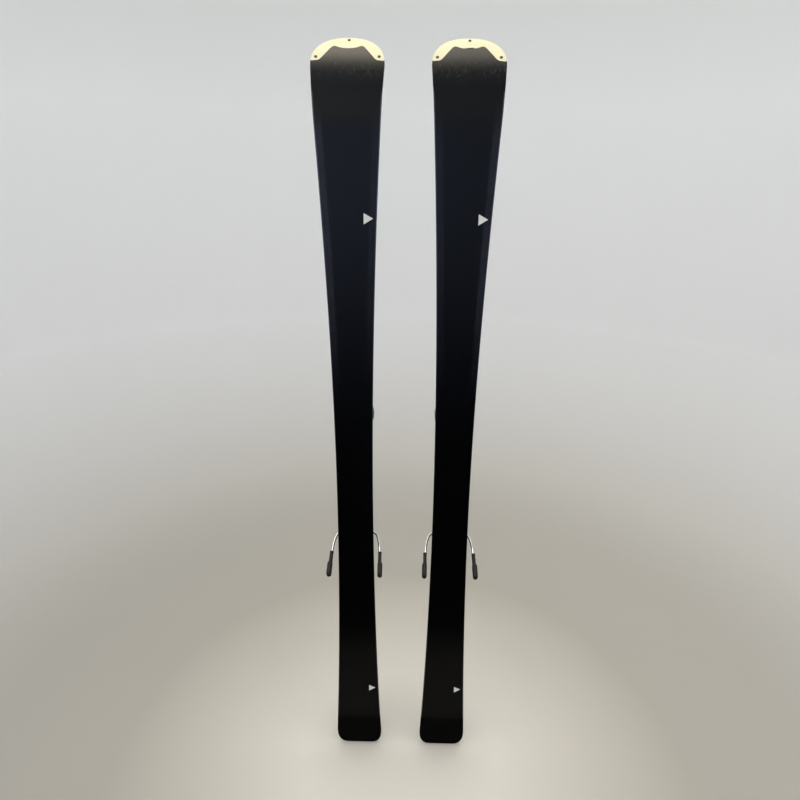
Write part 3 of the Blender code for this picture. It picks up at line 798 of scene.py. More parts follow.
def make_laminates(ski):
    make_base(ski)
    make_tip_plate(ski)
    make_sides(ski, edge_section, "steel_edge", EDGE_STEEL, "edge_steel", "edge")
    make_sides(ski, sidewall_section, "abs_sidewall", SIDEWALL, "sidewall_abs", "sidewall")
    core = ski.layer("wood_core", WOOD, 0.0, arc_end() - 0.0003, core_section)
    ski.place(core, "ski", "core_wood", "core")
    start, end = TAIL_PLATE_END + GAP, arc_end() - 0.0001
    sheet = ski.layer("printed_topsheet", TOP, start, end, topsheet_section, 50)
    ski.mark_places(sheet)
    ski.place(sheet, "ski", "top_sheet", "topsheet")
    tail = ski.layer("tail_plate", ALUMINIUM, 0.0, TAIL_PLATE_END, tail_section)
    ski.place(soften(tail, 0.0004), "ski", "aluminium", "tail_protector")


def make_marks(ski):
    """Two plain triangles printed near one side of the base."""
    for name, corners in MARKS.items():
        rings = [[ski.point(x, s, off) for x, s in corners] for off in (-0.00005, 0.0002)]
        ski.piece(f"mark_{name}", MARK, "ski", "tip_ivory", rings)


def make_rivets(ski):
    """Three small rivets in the tip plate: a dark metal head in a black ring, the ring being a painted
    shadow round the head.
    """
    ring = ((0.0006, 0.0027), (-0.00010, 0.0027), (-0.00025, 0.0023), (-0.00020, 0.0015))
    head = ((0.0006, 0.0011), (-0.00020, 0.0011), (-0.00036, 0.0008), (-0.00042, 0.0004))
    # The rings are a painted shadow: a black ring round each head, where the real rivet has only shade.
    for name, material, profile in (("rings", RUBBER, ring), ("heads", EDGE_STEEL, head)):
        solids = []
        for x, s in RIVETS:
            turn = Matrix.Translation(ski.point(x, s, 0.0)) @ Matrix.Rotation(-base_line(s)[2], 4, "X")
            solids.append([[turn @ p for p in row] for row in turned((0, 0, 0), 1, profile, 28)])
        ski.piece(f"tip_rivet_{name}", material, "ski", "spring_steel", *solids)


# ---------------------------------------------------------------- rails, carriages and small parts


def screw_template():
    """A countersunk screw head that faces +Y, with a cross recess."""
    radius, arm, half = 0.0040, 0.0022, 0.00055
    profile = ((-0.0020, 0.0024), (-0.0004, radius), (0.0, radius), (0.0002, 0.92 * radius))
    cross = []
    for k in range(4):
        for a, b in ((arm, -half), (arm, half), (half, half)):
            for _ in range(k):
                a, b = -b, a
            cross.append((a, b))
    head = built("screw_template", STEEL, turned((0, 0, 0), 1, profile, 28))
    mesh = cut(head, plate(0, cross, -0.0012, 0.0010)).data
    bpy.data.objects.remove(head)
    return mesh


def make_screws(ski, name, body, offset, y, rows, scale=1.0):
    """Screw heads at both sides of the middle, each turned a little differently."""
    places = [(ski.x + side * offset, y, z) for z in rows for side in (-1, 1)]
    bm = bmesh.new()
    for i, place in enumerate(places):
        before = set(bm.verts)
        bm.from_mesh(SCREW)
        turn = Matrix.Rotation(0.7 + 1.9 * i, 4, "Y") @ Matrix.Scale(scale, 4)
        new = [v for v in bm.verts if v not in before]
        bmesh.ops.transform(bm, matrix=Matrix.Translation(place) @ turn, verts=new)
    ski.place(finished(f"{ski.name}_{name}", bm, STEEL), body, "spring_steel")


def make_rail(ski, kind, low, high, screw_rows):
    """A T-section rail with a rack of rungs for the carriage's latch."""
    count, pitch, reach = 30, 0.006, 0.0075
    rings = []
    for i in range(count + 1):
        z = low + (high - low) * i / count
        foot = base_line(z)[0] + thickness(z) + 0.0001
        neck = [(NECK_HALF, foot), (NECK_HALF, FLANGE_UNDER)]
        flange = [(FLANGE_HALF, FLANGE_UNDER), (FLANGE_HALF, DECK)]
        rings.append([(ski.x + a, b, z) for a, b in mirrored(neck + flange)])
    rungs = []
    for i in range(int((high - low - 0.008) / pitch)):
        z = low + 0.005 + pitch * i
        rungs.append(ski.bar(reach, (DECK - 0.0008, DECK + 0.00028), (z, z + 0.0032)))
    ski.piece(f"{kind}_rail_moulding", RAIL, "ski", "dark_plastic", rings, node=f"{kind}_rail", bevel=0.0006)
    ski.piece(f"{kind}_rail_rack", RUNG, "ski", "dark_plastic", *rungs)
    make_screws(ski, f"{kind}_rail_screws", "ski", 0.0185, DECK + SCREW_RISE, screw_rows)


def make_channel(ski, kind, low, high):
    """A carriage's channel, whose hooks reach under the rail's flange."""
    inside = FLANGE_HALF + SLIDE_GAP
    half = [
        (CARRIAGE_HALF, CARRIAGE_TOP),
        (CARRIAGE_HALF, HOOK_UNDER),
        (NECK_HALF + SLIDE_GAP, HOOK_UNDER),
        (NECK_HALF + SLIDE_GAP, FLANGE_UNDER - SLIDE_GAP),
        (inside, FLANGE_UNDER - SLIDE_GAP),
        (inside, DECK + SLIDE_GAP),
    ]
    channel = prism([(ski.x + a, b, 0) for a, b in mirrored(half)], (0, 0, low), (0, 0, high))
    name, node = f"{kind}_carriage_channel", f"{kind}_carriage"
    ski.piece(name, SHELL, kind, "dark_plastic", channel, node=node, bevel=0.0007)


def make_grip_ribs(ski, kind, low, high, pitch=0.005):
    """Upright ribs on both flanks of a carriage."""
    ribs = []
    for i in range(int((high - low) / pitch)):
        z = low + pitch * (i + 0.5)
        for side in (-1, 1):
            reach = ski.flank(side, CARRIAGE_HALF - 0.001, CARRIAGE_HALF + 0.0006)
            ribs.append(box(reach, (HOOK_UNDER + 0.002, CARRIAGE_TOP - 0.002), (z - 0.0009, z + 0.0009)))
    ski.piece(f"{kind}_carriage_ribs", SHELL, kind, "dark_plastic", *ribs, bevel=0.0003)


def make_latch(ski, kind, z):
    """The spring tongue that holds a carriage in the rail's rack, with a raised finger grip."""
    half = [(0.0125, 0.0), (0.0125, 0.010), (0.0090, 0.0185)]
    outline = filleted([(a, -b) for a, b in mirrored(half)], 0.002)
    tongue = plate(ski.x, outline, DECK + 0.0005, DECK + 0.0022, z)
    grip = ski.bar(0.0075, (DECK + 0.001, DECK + 0.0034), (z - 0.0165, z - 0.014))
    ski.piece(f"{kind}_latch", STEEL, kind, "spring_steel", tongue, grip, bevel=0.0003)


def make_scale(ski, z_start):
    """Plain adjustment marks beside the heel carriage's edge."""
    x, count, pitch = ski.x + 0.0250, 7, 0.0025
    y_range = (CARRIAGE_TOP - 0.0003, CARRIAGE_TOP + 0.00008)
    ticks = []
    for i in range(count):
        z = z_start + pitch * i
        reach = 0.0065 if i % 2 == 0 else 0.0040
        ticks.append(box((x, x + reach), y_range, (z - 0.0003, z + 0.0003)))
    ski.piece("heel_scale", MARK, "heel", "tip_ivory", *ticks)


def make_spring(ski, kind, body, y, low, high):
    radius, turns, steps = 0.0066, 6, 22
    count = turns * steps
    path = []
    for i in range(count + 1):
        angle = 2 * math.pi * i / steps
        z = low + (high - low) * i / count
        path.append(Vector((ski.x + radius * math.cos(angle), y + radius * math.sin(angle), z)))
    name, rings = f"{kind}_compression_spring", tube(path, 0.0014, 10)
    ski.piece(name, STEEL, body, "spring_steel", rings, node=f"{kind}_spring")


def make_adjuster(ski, kind, y, radius, low, high, slot_z):
    """A slotted release-adjusting screw; its slot is in the end at slot_z."""
    chamfer = 0.0007
    rim = radius - chamfer
    inward = 1 if slot_z == low else -1
    profile = ((low, rim), (low + chamfer, radius), (high - chamfer, radius), (high, rim))
    slot_ends = sorted((slot_z - inward * 0.002, slot_z + inward * 0.0026))
    slot = ski.bar(1.3 * radius, (y - 0.0011, y + 0.0011), slot_ends)
    screw = cut(ski.built(f"{kind}_adjusting_screw", BRASS, turned((ski.x, y, 0), 2, profile, 40)), slot)
    ski.place(screw, f"{kind}_screw", "spring_steel", f"{kind}_screw")


def make_window(ski, kind, body, level, half, z_range, bar_half, bar_z):
    """A dark window in a cover, with one plain bar as its pointer."""
    low, high = z_range
    origin = TOE_Z if kind == "toe" else HEEL_Z
    outline = filleted([(half, low), (-half, low), (-half, high), (half, high)], 0.0012)
    glass = plate(ski.x, outline, level - 0.0021, level, origin)
    ski.piece(f"{kind}_window", WINDOW, body, "dark_plastic", glass, bevel=0.0003)
    bar = ski.bar(bar_half, (level - 0.0006, level + 0.00008), (bar_z, bar_z + 0.0014))
    ski.piece(f"{kind}_window_needle", MARK, body, "tip_ivory", bar)


# ---------------------------------------------------------------- the toe piece

HOUSING_SECTIONS = (  # along, half width, bottom, top
    (0.0330, 0.0240, 0.0388, 0.0655),
    (0.0360, 0.0250, 0.0388, 0.0660),
    (0.0450, 0.0248, 0.0388, 0.0662),
    (0.0540, 0.0236, 0.0388, 0.0662),
    (0.0620, 0.0217, 0.0389, 0.0658),
    (0.0700, 0.0197, 0.0390, 0.0651),
    (0.0770, 0.0180, 0.0392, 0.0643),
    (0.0807, 0.0172, 0.0394, 0.0637),
    (0.0820, 0.0158, 0.0402, 0.0628),
)
JAW = (  # across, along
    (0.0120, 0.0080),
    (0.0120, 0.0210),
    (0.0190, 0.0235),
    (0.0290, 0.0170),
    (0.0365, 0.0050),
    (0.0392, -0.0070),
    (0.0385, -0.0190),
    (0.0350, -0.0205),
    (0.0330, -0.0090),
    (0.0270, 0.0005),
    (0.0190, 0.0050),
)
JAW_GROOVE = (
    (0.0420, 0.0080),
    (0.0420, -0.0170),
    (0.0383, -0.0170),
    (0.0383, -0.0065),
    (0.0352, 0.0055),
    (0.0330, 0.0080),
)


def make_toe_housing(ski):
    x = ski.x
    hull = []
    for along, half, bottom, top in HOUSING_SECTIONS:
        middle = (bottom + top) / 2
        ring = rounded_rectangle(half, (top - bottom) / 2, 0.0052, 6)
        hull.append([(x + a, middle + b, TOE_Z + along) for a, b in ring])
    bore = turned((x, TOE_BORE_Y, TOE_Z), 2, ((0.042, 0.0095), (0.095, 0.0095)), 40)
    ski.place(cut(ski.built("toe_housing_hull", SHELL, hull), bore), "toe", "dark_plastic", "toe_housing")
    outline = filleted(mirrored([(0.0180, 0.0040), (0.0255, 0.0170), (0.0255, 0.0385)]), 0.004)
    plates = [plate(x, outline, low, high, TOE_Z) for low, high in ((0.0388, 0.0425), (0.0615, 0.0660))]
    ski.piece("toe_roof_and_floor", SHELL, "toe", "dark_plastic", *plates, bevel=0.0011, segments=3)
    profile = ((0.0420, 0.0030), (0.0655, 0.0030), (0.0657, 0.0043), (0.0663, 0.0043), (0.0668, 0.0030))
    posts = [turned((x + side * WING_POST_X, 0, WING_POST_Z), 1, profile) for side in (-1, 1)]
    ski.piece("toe_wing_posts", STEEL, "toe", "spring_steel", *posts)
    half = [(0.0085, 0.0260), (0.0150, 0.0320), (0.0150, 0.0500), (0.0100, 0.0660)]
    cover = plate(x, filleted(mirrored(half), 0.003), 0.0640, 0.0668, TOE_Z)
    ski.piece("toe_cover", ACCENT, "toe", "tip_ivory", cover, bevel=0.0005)
    make_window(ski, "toe", "toe", 0.0671, 0.0042, (0.036, 0.054), 0.0030, TOE_Z + 0.0500)


def make_wing(ski, side, place):
    """A jaw with its pivot hole, grooves on its outer face and a roller that meets the boot."""
    body = f"toe_wing_{place}"
    outline = filleted([(side * a, b) for a, b in JAW], 0.0045, 5)
    jaw = ski.built(f"toe_jaw_{place}", SHELL, plate(ski.x, outline, 0.0429, 0.0611, TOE_Z))
    post = (ski.x + side * WING_POST_X, 0, WING_POST_Z)
    jaw = cut(jaw, turned(post, 1, ((0.040, 0.0034), (0.064, 0.0034))))
    groove = [(side * a, b) for a, b in JAW_GROOVE]
    rows = (0.0475, 0.0520, 0.0565)
    jaw = cut(jaw, *(plate(ski.x, groove, y - 0.0006, y + 0.0006, TOE_Z) for y in rows))
    ski.place(soften(jaw, 0.0006), body, "dark_plastic", body)
    profile = ((0.0440, 0.0020), (0.0444, 0.0031), (0.0596, 0.0031), (0.0600, 0.0020))
    roller = turned((ski.x + side * 0.0342, 0, TOE_Z - 0.0165), 1, profile, 24)
    ski.piece(f"toe_roller_{place}", SLIDER, body, "slider_grey", roller)


def make_slide_pad(ski):
    x = ski.x
    outer = filleted(mirrored([(0.0290, -0.0530), (0.0290, -0.0100), (0.0250, -0.0050)]), 0.003)
    inner = filleted(mirrored([(0.0250, -0.0500), (0.0250, -0.0115), (0.0225, -0.0085)]), 0.003)
    rim = plate(x, outer, CARRIAGE_TOP + 0.0002, 0.0406, TOE_Z)
    ski.piece("toe_pad_frame", SHELL, "toe", "dark_plastic", rim, bevel=0.0005)
    insert = [plate(x, inner, 0.0395, 0.0413, TOE_Z)]
    for i in range(9):
        z = TOE_Z - 0.0470 + 0.0042 * i
        insert.append(ski.bar(0.0225, (0.0405, 0.0418), (z, z + 0.0018)))
    ski.piece("toe_pad_insert", SLIDER, "toe", "slider_grey", *insert, node="toe_slide_pad", bevel=0.0003)


def make_toe(ski):
    make_rail(ski, "toe", TOE_Z - 0.100, TOE_Z + 0.094, (TOE_Z - 0.088, TOE_Z + 0.087))
    low, high = TOE_Z - 0.062, TOE_Z + 0.080
    make_channel(ski, "toe", low, high)
    make_grip_ribs(ski, "toe", low + 0.060, high - 0.006)
    make_latch(ski, "toe", low + 0.001)
    make_screws(ski, "toe_carriage_screws", "toe", 0.0290, CARRIAGE_TOP + SCREW_RISE, (TOE_Z + 0.068,), 0.75)
    make_toe_housing(ski)
    make_slide_pad(ski)
    for side, place in ski.sides:
        make_wing(ski, side, place)
    make_spring(ski, "toe", "toe", TOE_BORE_Y, TOE_Z + 0.045, TOE_Z + 0.060)
    make_adjuster(ski, "toe", TOE_BORE_Y, 0.0087, TOE_Z + 0.066, TOE_Z + 0.082, TOE_Z + 0.082)


# ---------------------------------------------------------------- the heel piece

CUP_SIDE = (  # height, along
    (0.0490, -0.0940),
    (0.0405, -0.0850),
    (0.0405, 0.0000),
    (0.0490, 0.0060),
    (0.0560, 0.0010),
    (0.0620, 0.0120),
    (0.0700, 0.0120),
    (0.0760, -0.0050),
    (0.0770, -0.0600),
    (0.0730, -0.0940),
)
CUP_HALF = 0.0225
CUP_MIDDLE = (0.0585, -0.042)
CUP_SECTIONS = (  # across, how far the outline shrinks
    (-CUP_HALF, 0.0016),
    (-0.0212, 0.0003),
    (-0.0195, 0.0),
    (0.0195, 0.0),
    (0.0212, 0.0003),
    (CUP_HALF, 0.0016),
)


def make_heel_carriage(ski):
    low, high = HEEL_Z - 0.116, HEEL_Z + 0.077
    ear = filleted([(0.0375, -0.094), (0.0375, -0.072), (0.0510, -0.077), (0.0510, -0.089)], 0.004)
    ears = [side_view(ear, *ski.flank(side, 0.0235, 0.0275), HEEL_Z) for side in (-1, 1)]
    make_channel(ski, "heel", low, high)
    ski.piece("heel_carriage_ears", SHELL, "heel", "dark_plastic", *ears, bevel=0.0005)
    make_grip_ribs(ski, "heel", low + 0.010, high - 0.075)
    make_latch(ski, "heel", low + 0.001)
    make_scale(ski, low + 0.004)
    rows = (HEEL_Z - 0.060, HEEL_Z - 0.012)
    make_screws(ski, "heel_carriage_screws", "heel", 0.0290, CARRIAGE_TOP + SCREW_RISE, rows, 0.75)
    end = ((0.0290, 0.0026), (0.0286, 0.0042), (0.0277, 0.0042), (0.0277, 0.0030))
    profile = (*((-a, b) for a, b in end), *reversed(end))
    axle = turned((ski.x, HEEL_AXLE_Y, HEEL_AXLE_Z), 0, profile)
    ski.piece("heel_pivot_axle", STEEL, "heel", "spring_steel", axle, node="heel_axle")


def make_heel_cup(ski):
    x, body = ski.x, "heel_cup"
    outline = filleted(CUP_SIDE, 0.0035)
    narrow = 0.0028
    hull = []
    for across, shrink in CUP_SECTIONS:
        ring = []
        for point in outline:
            lean = narrow * max(0.0, (point[0] - 0.060) / 0.017)
            moved = point + (Vector(CUP_MIDDLE) - point).normalized() * shrink
            ring.append((x + across * (1 - lean / CUP_HALF), moved[0], HEEL_Z + moved[1]))
        hull.append(ring)
    bore = turned((x, HEEL_BORE_Y, 0), 2, ((HEEL_Z - 0.104, 0.0090), (HEEL_Z - 0.024, 0.0090)), 40)
    flutes = []
    for side in (-1, 1):
        reach = ski.flank(side, 0.0218, 0.0250)
        for i in range(3):
            y = 0.0470 + 0.0052 * i
            flute = [(y, -0.060), (y, -0.014), (y + 0.0026, -0.014), (y + 0.0026, -0.060)]
            flutes.append(side_view(filleted(flute, 0.0012, 3), *reach, HEEL_Z))
    cup = cut(cut(ski.built("heel_cup_hull", SHELL, hull), bore), *flutes)
    ski.place(soften(cup, 0.0005), body, "dark_plastic", "heel_cup")
    half = [(0.0160, -0.0590), (0.0160, -0.0120), (0.0120, -0.0040)]
    cover = plate(x, filleted(mirrored(half), 0.004), 0.0745, 0.0778, HEEL_Z)
    ski.piece("heel_cover", ACCENT, body, "tip_ivory", cover, bevel=0.0006)
    make_window(ski, "heel", body, 0.0781, 0.0045, (-0.052, -0.032), 0.0032, HEEL_Z - 0.0365)
    profile = ((-0.0281, 0.0022), (-0.0277, 0.0030), (0.0277, 0.0030), (0.0281, 0.0022))
    ski.piece("heel_lever_pins", STEEL, body, "spring_steel", turned((x, LEVER_Y, LEVER_Z), 0, profile))
    tread = []
    for i in range(4):
        z = HEEL_Z - 0.0005 + 0.0032 * i
        tread.append(ski.bar(0.014, (0.0690, 0.0716 - 0.0002 * i), (z, z + 0.0016)))
    ski.piece("heel_tread", SHELL, body, "dark_plastic", *tread, bevel=0.0003)
    make_spring(ski, "heel", body, HEEL_BORE_Y, HEEL_Z - 0.072, HEEL_Z - 0.028)
    make_adjuster(ski, "heel", HEEL_BORE_Y, 0.0082, HEEL_Z - 0.094, HEEL_Z - 0.076, HEEL_Z - 0.094)


def circle(radius, count):
    turns = [2 * math.pi * k / count for k in range(count)]
    return [(radius * math.cos(t), radius * math.sin(t)) for t in turns]


def make_heel_lever(ski):
    """A fork on the cup's pins, with a dished pad for the pole's tip."""
    inner, outer, half_thick, fork_end, dish = 0.0233, 0.0273, 0.0050, -0.0065, 0.0560
    half = [(outer, fork_end), (outer, 0.0300), (0.0215, 0.0715), (0.0150, 0.0780)]
    slot = [(-inner, fork_end), (-inner, 0.0240), (inner, 0.0240), (inner, fork_end)]
    along = Vector((0, math.sin(LEVER_ANGLE), -math.cos(LEVER_ANGLE)))
    normal = Vector((0, math.cos(LEVER_ANGLE), math.sin(LEVER_ANGLE)))
    pivot = Vector((ski.x, LEVER_Y, LEVER_Z))

    def place(a, b, c):
        return pivot + Vector((a, 0, 0)) + along * b + normal * c

    outline = filleted([*mirrored(half), *slot], 0.0028)
    flat, inset = half_thick - 0.0006, 0.0006
    shape = []
    for c, shrink in ((-half_thick, inset), (-flat, 0.0), (flat, 0.0), (half_thick, inset)):
        shape.append([place(a * (1 - shrink / outer), b - shrink * (b > 0.04), c) for a, b in outline])
    hollow = []
    for depth, radius in ((0.0012, 0.0100), (-0.0008, 0.0088), (-0.0022, 0.0064), (-0.0029, 0.0030)):
        hollow.append([place(a, dish + b, half_thick + depth) for a, b in circle(radius, 36)])
    hole = [[place(c, b, a) for b, a in circle(0.0034, 24)] for c in (-0.04, 0.04)]
    lever = cut(ski.built("heel_step_lever", ACCENT, shape), hollow, hole)
    ski.place(soften(lever, 0.0005), "heel_lever", "tip_ivory", "heel_lever")
    ribs = []
    for i in range(4):
        b, reach = 0.0690 + 0.0024 * i, 0.0130 - 0.0009 * i
        ring = [(-reach, b), (reach, b), (reach, b + 0.0011), (-reach, b + 0.0011)]
        ribs.append([[place(a, d, c) for a, d in ring] for c in (half_thick - 0.001, half_thick + 0.0005)])
    ski.piece("heel_lever_ribs", ACCENT, "heel_lever", "tip_ivory", *ribs, bevel=0.0002)


# ---------------------------------------------------------------- the ski brake

FOOT_SHANK = (  # distance along the arm, inward half, outward half, half depth, rounding
    (0.0489, 0.0035, 0.0035, 0.0042, 0.0026),
    (0.0495, 0.0040, 0.0040, 0.0050, 0.0030),
    (0.0525, 0.0040, 0.0040, 0.0051, 0.0030),
    (0.0532, 0.0036, 0.0036, 0.0048, 0.0030),
    (0.0600, 0.0037, 0.0037, 0.0054, 0.0030),
    (0.0735, 0.0038, 0.0037, 0.0060, 0.0030),
    (0.0752, 0.0039, 0.0052, 0.0068, 0.0030),
    (0.0930, 0.0044, 0.0055, 0.0076, 0.0032),
    (0.0950, 0.0045, 0.0055, 0.0077, 0.0032),
)
FOOT_CAP = (  # the same columns
    (0.0944, 0.0047, 0.0057, 0.0079, 0.0034),
    (0.1010, 0.0046, 0.0055, 0.0076, 0.0036),
    (0.1035, 0.0040, 0.0048, 0.0066, 0.0036),
    (0.1050, 0.0029, 0.0036, 0.0050, 0.0030),
    (0.1055, 0.0018, 0.0022, 0.0034, 0.0018),
)


def arm_point(x, across, distance, up=0.0):
    """A point of the brake at a distance along its deployed arms, across from the ski's middle."""
    y = BRAKE_Y - distance * math.sin(BRAKE_ANGLE) + up * math.cos(BRAKE_ANGLE)
    z = BRAKE_Z - distance * math.cos(BRAKE_ANGLE) - up * math.sin(BRAKE_ANGLE)
    return Vector((x + across, y, z))


def foot_rings(x, side, sections):
    rings = []
    for distance, inward, outward, depth, rounding in sections:
        centre = FOOT_ACROSS + FOOT_SPLAY * (distance - FOOT_START) + (outward - inward) / 2
        ring = rounded_rectangle((inward + outward) / 2, depth, rounding, 5)
        rings.append([arm_point(x, side * (centre + a), distance, b) for a, b in ring])
    return rings


def make_brake_arm(ski, side, place):
    """A wire from the pedal's pivot to its foot."""
    spots = ((0.0010, 0), (0.0420, 0), (0.0502, 0.0230), (FOOT_ACROSS, FOOT_START + 0.004))
    corners = [arm_point(ski.x, side * across, distance) for across, distance in spots]
    wire = tube(bent_path(corners, 0.012), WIRE_RADIUS, 18)
    node = f"brake_arm_{place}"
    ski.piece(f"brake_wire_{place}", CHROME, "brake", "chromed_wire", wire, node=node)


def make_brake_foot(ski, side, place):
    solids = [foot_rings(ski.x, side, FOOT_SHANK)]
    for i in range(4):
        start = 0.0775 + 0.0040 * i
        rib = ((start, 0.0047, 0.0058, 0.0074, 0.0030), (start + 0.0018, 0.0047, 0.0058, 0.0075, 0.0030))
        solids.append(foot_rings(ski.x, side, rib))
    node = f"brake_foot_{place}"
    ski.piece(f"brake_shoe_{place}", FOOT, "brake", "foot_plastic", *solids, node=node)
    cap = foot_rings(ski.x, side, FOOT_CAP)
    ski.piece(f"brake_shoe_cap_{place}", RUBBER, "brake", "foot_plastic", cap)


def make_brake_base(ski):
    floor, half, low, high = CARRIAGE_TOP + 0.0002, 0.0290, 0.009, 0.060
    flat = filleted([(half, low), (half, high), (-half, high), (-half, low)], 0.004)
    shape = [plate(ski.x, flat, floor, floor + 0.0018, HEEL_Z)]
    foot = floor + 0.0008
    lug = [(foot, 0.010), (foot, 0.032), (0.0490, 0.0285), (0.0522, 0.0210), (0.0490, 0.0135)]
    for side in (-1, 1):
        shape.append(side_view(filleted(lug, 0.003), *ski.flank(side, 0.0240, half), HEEL_Z))
    ski.piece("brake_bracket", SHELL, "heel", "dark_plastic", *shape, node="brake_base", bevel=0.0005)
    make_screws(ski, "brake_bracket_screws", "heel", 0.0235, floor + 0.00185, (HEEL_Z + 0.053,), 0.75)


def make_brake_pedal(ski):
    along = Vector((0, math.sin(BRAKE_ANGLE), math.cos(BRAKE_ANGLE)))
    normal = Vector((0, math.cos(BRAKE_ANGLE), -math.sin(BRAKE_ANGLE)))
    pivot = Vector((ski.x, BRAKE_Y, BRAKE_Z))

    def slice_of(outline, low, high):
        ring = [pivot + Vector((a, 0, 0)) + along * b for a, b in outline]
        return [[p + normal * low for p in ring], [p + normal * high for p in ring]]

    half = [(0.0200, 0.0), (0.0215, 0.0080), (0.0215, 0.0420), (0.0160, 0.0500)]
    tread = slice_of(filleted(mirrored(half), 0.004), -0.0005, 0.0045)
    tube_ends = ((-0.0233, 0.0046), (-0.0230, 0.0050), (0.0230, 0.0050), (0.0233, 0.0046))
    shape = [tread, turned(pivot, 0, tube_ends)]
    ski.piece("brake_tread_plate", SHELL, "brake", "dark_plastic", *shape, node="brake_pedal", bevel=0.0006)
    ribs = []
    for i in range(6):
        b = 0.0110 + 0.0058 * i
        outline = [(-0.0170, b), (0.0170, b), (0.0170, b + 0.0024), (-0.0170, b + 0.0024)]
        ribs.append(slice_of(outline, 0.0040, 0.0053))
    ski.piece("brake_tread_ribs", RUBBER, "brake", "dark_plastic", *ribs, bevel=0.0003)


def make_heel(ski):
    make_rail(ski, "heel", HEEL_Z - 0.150, HEEL_Z + 0.090, (HEEL_Z - 0.139, HEEL_Z + 0.0835))
    make_heel_carriage(ski)
    make_heel_cup(ski)
    make_heel_lever(ski)
    make_brake_base(ski)
    make_brake_pedal(ski)
    for side, place in ski.sides:
        make_brake_arm(ski, side, place)
        make_brake_foot(ski, side, place)


# ---------------------------------------------------------------- stage

CAMERA_PLACE = (0.0120, -1.1143, 1.3508)
CAMERA_PITCH = math.radians(20.492)
CAMERA_YAW = math.radians(-1.046)
CAMERA_ROLL = math.radians(0.522)
CAMERA_LENS = 27
FLAT_RADIUS = 1.0
BOWL_RADIUS = 0.75
RAMP_TOP = 2.0  # height above which the wall has one colour
WALL_TOP = 4.0
# Painted shade: the floor's colour darkens outwards from the middle.
FLOOR_PAINTED_SHADE = (  # share of the floor's radius, colour
    (0.24, (0.660, 0.640, 0.590)),
    (0.45, (0.520, 0.500, 0.455)),
    (0.70, (0.395, 0.377, 0.340)),
    (1.0, (0.400, 0.388, 0.360)),
)
# Painted light and shade: the wall is dark at its foot, pale higher up and darker again near the top.
WALL_PAINTED_LIGHT_AND_SHADE = (  # share of RAMP_TOP, colour
    (0.0, (0.400, 0.388, 0.360)),
    (0.060, (0.520, 0.512, 0.490)),
    (0.15, (0.640, 0.640, 0.640)),
    (0.36, (0.910, 0.925, 0.950)),
    (0.80, (0.870, 0.885, 0.905)),
    (0.98, (0.760, 0.775, 0.780)),
)
ROOM_RAMP = (  # height of a direction, colour of the room in front
    (-0.50, (0.002, 0.002, 0.002)),
    (-0.42, (0.006, 0.006, 0.006)),
    (-0.35, (0.022, 0.026, 0.046)),
    (-0.28, (0.070, 0.080, 0.120)),
    (-0.195, (0.150, 0.180, 0.260)),
    (-0.04, (0.250, 0.300, 0.430)),
    (0.08, (0.240, 0.290, 0.400)),
    (0.20, (0.280, 0.300, 0.330)),
    (0.36, (0.360, 0.370, 0.360)),
    (0.67, (0.290, 0.295, 0.300)),
    (0.83, (0.270, 0.275, 0.280)),
    (0.89, (0.480, 0.460, 0.420)),
    (0.93, (1.500, 1.380, 1.160)),
    (0.97, (4.600, 4.200, 3.500)),
)


def make_camera():
    level = math.cos(CAMERA_PITCH)
    forward = (math.sin(CAMERA_YAW) * level, math.cos(CAMERA_YAW) * level, -math.sin(CAMERA_PITCH))
    forward = Vector(forward)
    right = Vector((math.cos(CAMERA_YAW), -math.sin(CAMERA_YAW), 0))
    up = right.cross(forward)
    across = math.cos(CAMERA_ROLL) * right + math.sin(CAMERA_ROLL) * up
    upward = -math.sin(CAMERA_ROLL) * right + math.cos(CAMERA_ROLL) * up
    rows = (across, upward, -forward)
    turn = Matrix([[v[i] for v in rows] for i in range(3)]).to_4x4()
    data = bpy.data.cameras.new("camera")
    data.lens = CAMERA_LENS
    data.sensor_width = 36
    data.clip_start = 0.01
    camera = bpy.data.objects.new("camera", data)
    camera.matrix_world = Matrix.Translation(CAMERA_PLACE) @ turn
    bpy.context.scene.collection.objects.link(camera)
    bpy.context.scene.camera = camera


def stage_finish():
    """Pale seamless paper with painted light and shade: darker and warmer where it turns up into the wall.
    """
    finish = Finish("studio_paper_with_painted_shade", roughness=0.9)
    place = finish.place()
    parts = finish.node("ShaderNodeSeparateXYZ", {0: place}).outputs
    flat = finish.node("ShaderNodeCombineXYZ", {0: parts["X"], 1: parts["Y"]})
    radius = finish.node("ShaderNodeVectorMath", {0: flat.outputs[0]}, operation="LENGTH").outputs["Value"]
    mottle = finish.noise(place, 3.0, 3)
    # Painted light and shade on the floor and on the wall.
    floor = finish.ramp(radius, FLAT_RADIUS, FLOOR_PAINTED_SHADE)
    wall = finish.ramp(parts["Z"], RAMP_TOP, WALL_PAINTED_LIGHT_AND_SHADE)
    colour = finish.mix(finish.step(parts["Z"], 0.0, 0.004), floor, wall)
    finish.colour(finish.mix(finish.math("MULTIPLY", mottle, 0.06), colour, (0.5, 0.5, 0.5)))
    return finish.material


def bowl_profile():
    """(radius, height) points of the bowl, from the floor up the wall."""
    flat_steps, bend_steps = 6, 16
    points = [(FLAT_RADIUS * i / flat_steps, 0.0) for i in range(1, flat_steps + 1)]
    for i in range(1, bend_steps + 1):
        angle = math.pi / 2 * i / bend_steps
        points.append((FLAT_RADIUS + BOWL_RADIUS * math.sin(angle), BOWL_RADIUS * (1 - math.cos(angle))))
    return [*points, (FLAT_RADIUS + BOWL_RADIUS, RAMP_TOP), (FLAT_RADIUS + BOWL_RADIUS, WALL_TOP)]


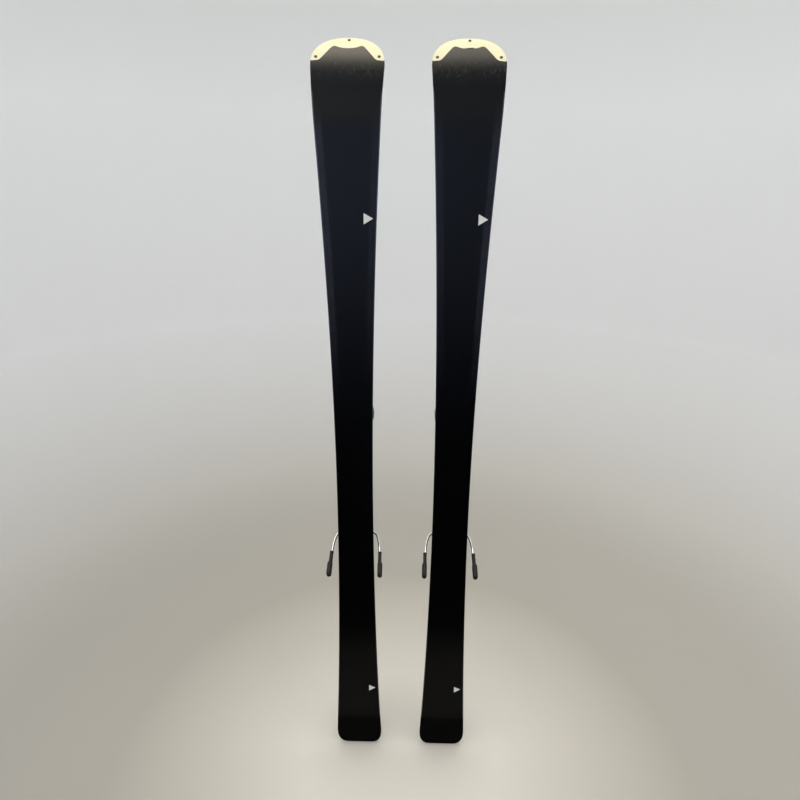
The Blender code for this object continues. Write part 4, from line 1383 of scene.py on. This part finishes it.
def make_bowl(paper):
    """Floor and wall all round. It isn't seen in reflections, where the world and the plates below are."""
    sides = 96
    turns = [2 * math.pi * i / sides for i in range(sides)]
    bm = bmesh.new()
    rings = [[(r * math.cos(t), r * math.sin(t), height) for t in turns] for r, height in bowl_profile()]
    made = skin(bm, rings, caps=False)
    bm.faces.new(made[0])
    bowl = finished("studio_bowl", bm, paper, 60)
    bowl.visible_glossy = False


def make_reflected_plate(name, half, front, back, height, material):
    """A level plate that shows only in reflections."""
    bm = bmesh.new()
    corners = ((-half, -front), (half, -front), (half, back), (-half, back))
    bm.faces.new([bm.verts.new((x, y, height)) for x, y in corners])
    flat = finished(name, bm, material)
    flat.visible_camera = False
    flat.visible_diffuse = False
    flat.visible_shadow = False


def area_light(name, place, target, size, power):
    data = bpy.data.lights.new(name, "AREA")
    data.shape = "RECTANGLE"
    data.size, data.size_y = size
    data.energy = power
    light = bpy.data.objects.new(name, data)
    light.location = place
    light.rotation_euler = (Vector(target) - Vector(place)).to_track_quat("-Z", "Y").to_euler()
    light.visible_camera = False
    light.visible_glossy = False
    bpy.context.scene.collection.objects.link(light)


def make_world():
    """What shows in reflections: a dim room in front, brighter overhead, and pale paper behind."""
    world = bpy.data.worlds.new("studio")
    world.use_nodes = True
    nodes = Nodes(world.node_tree)
    direction = nodes.node("ShaderNodeTexCoord").outputs["Generated"]
    parts = nodes.node("ShaderNodeSeparateXYZ", {0: direction}).outputs
    height = nodes.map_range(parts["Z"], (-1.0, 1.0))
    room = nodes.node("ShaderNodeValToRGB", {"Fac": height})
    fill_ramp(room, [((level + 1) / 2, colour) for level, colour in ROOM_RAMP])
    aside = nodes.map_range(parts["X"], (-0.15, 0.08), (1.15, 0.62))
    inputs = {0: room.outputs["Color"], "Scale": aside}
    front = nodes.node("ShaderNodeVectorMath", inputs, operation="SCALE").outputs[0]
    behind = nodes.map_range(parts["Y"], (0.0, 0.35))
    background = world.node_tree.nodes["Background"]
    nodes.feed(background.inputs["Color"], nodes.mix(behind, front, (0.62, 0.62, 0.61)))
    bpy.context.scene.world = world


def make_stage():
    bpy.context.scene.view_settings.view_transform = "Standard"
    make_camera()
    paper = stage_finish()
    make_bowl(paper)
    make_reflected_plate("studio_floor_in_reflections", 1.2, 0.40, 1.2, -0.0005, paper)
    make_reflected_plate("studio_dark_plate_in_reflections", 0.4, 0.088, 0.4, 0.0002, RUBBER)
    make_world()
    area_light("overhead", (0.2, -0.5, 3.4), (0, 0.2, 0.6), (2.6, 2.2), 37)
    area_light("front", (0.4, -2.6, 2.4), (0, 0, 0.9), (2.4, 1.6), 15.7)


SCREW = screw_template()

for ski in (Ski("left", -1), Ski("right", 1)):
    make_laminates(ski)
    make_marks(ski)
    make_rivets(ski)
    make_toe(ski)
    make_heel(ski)
make_stage()
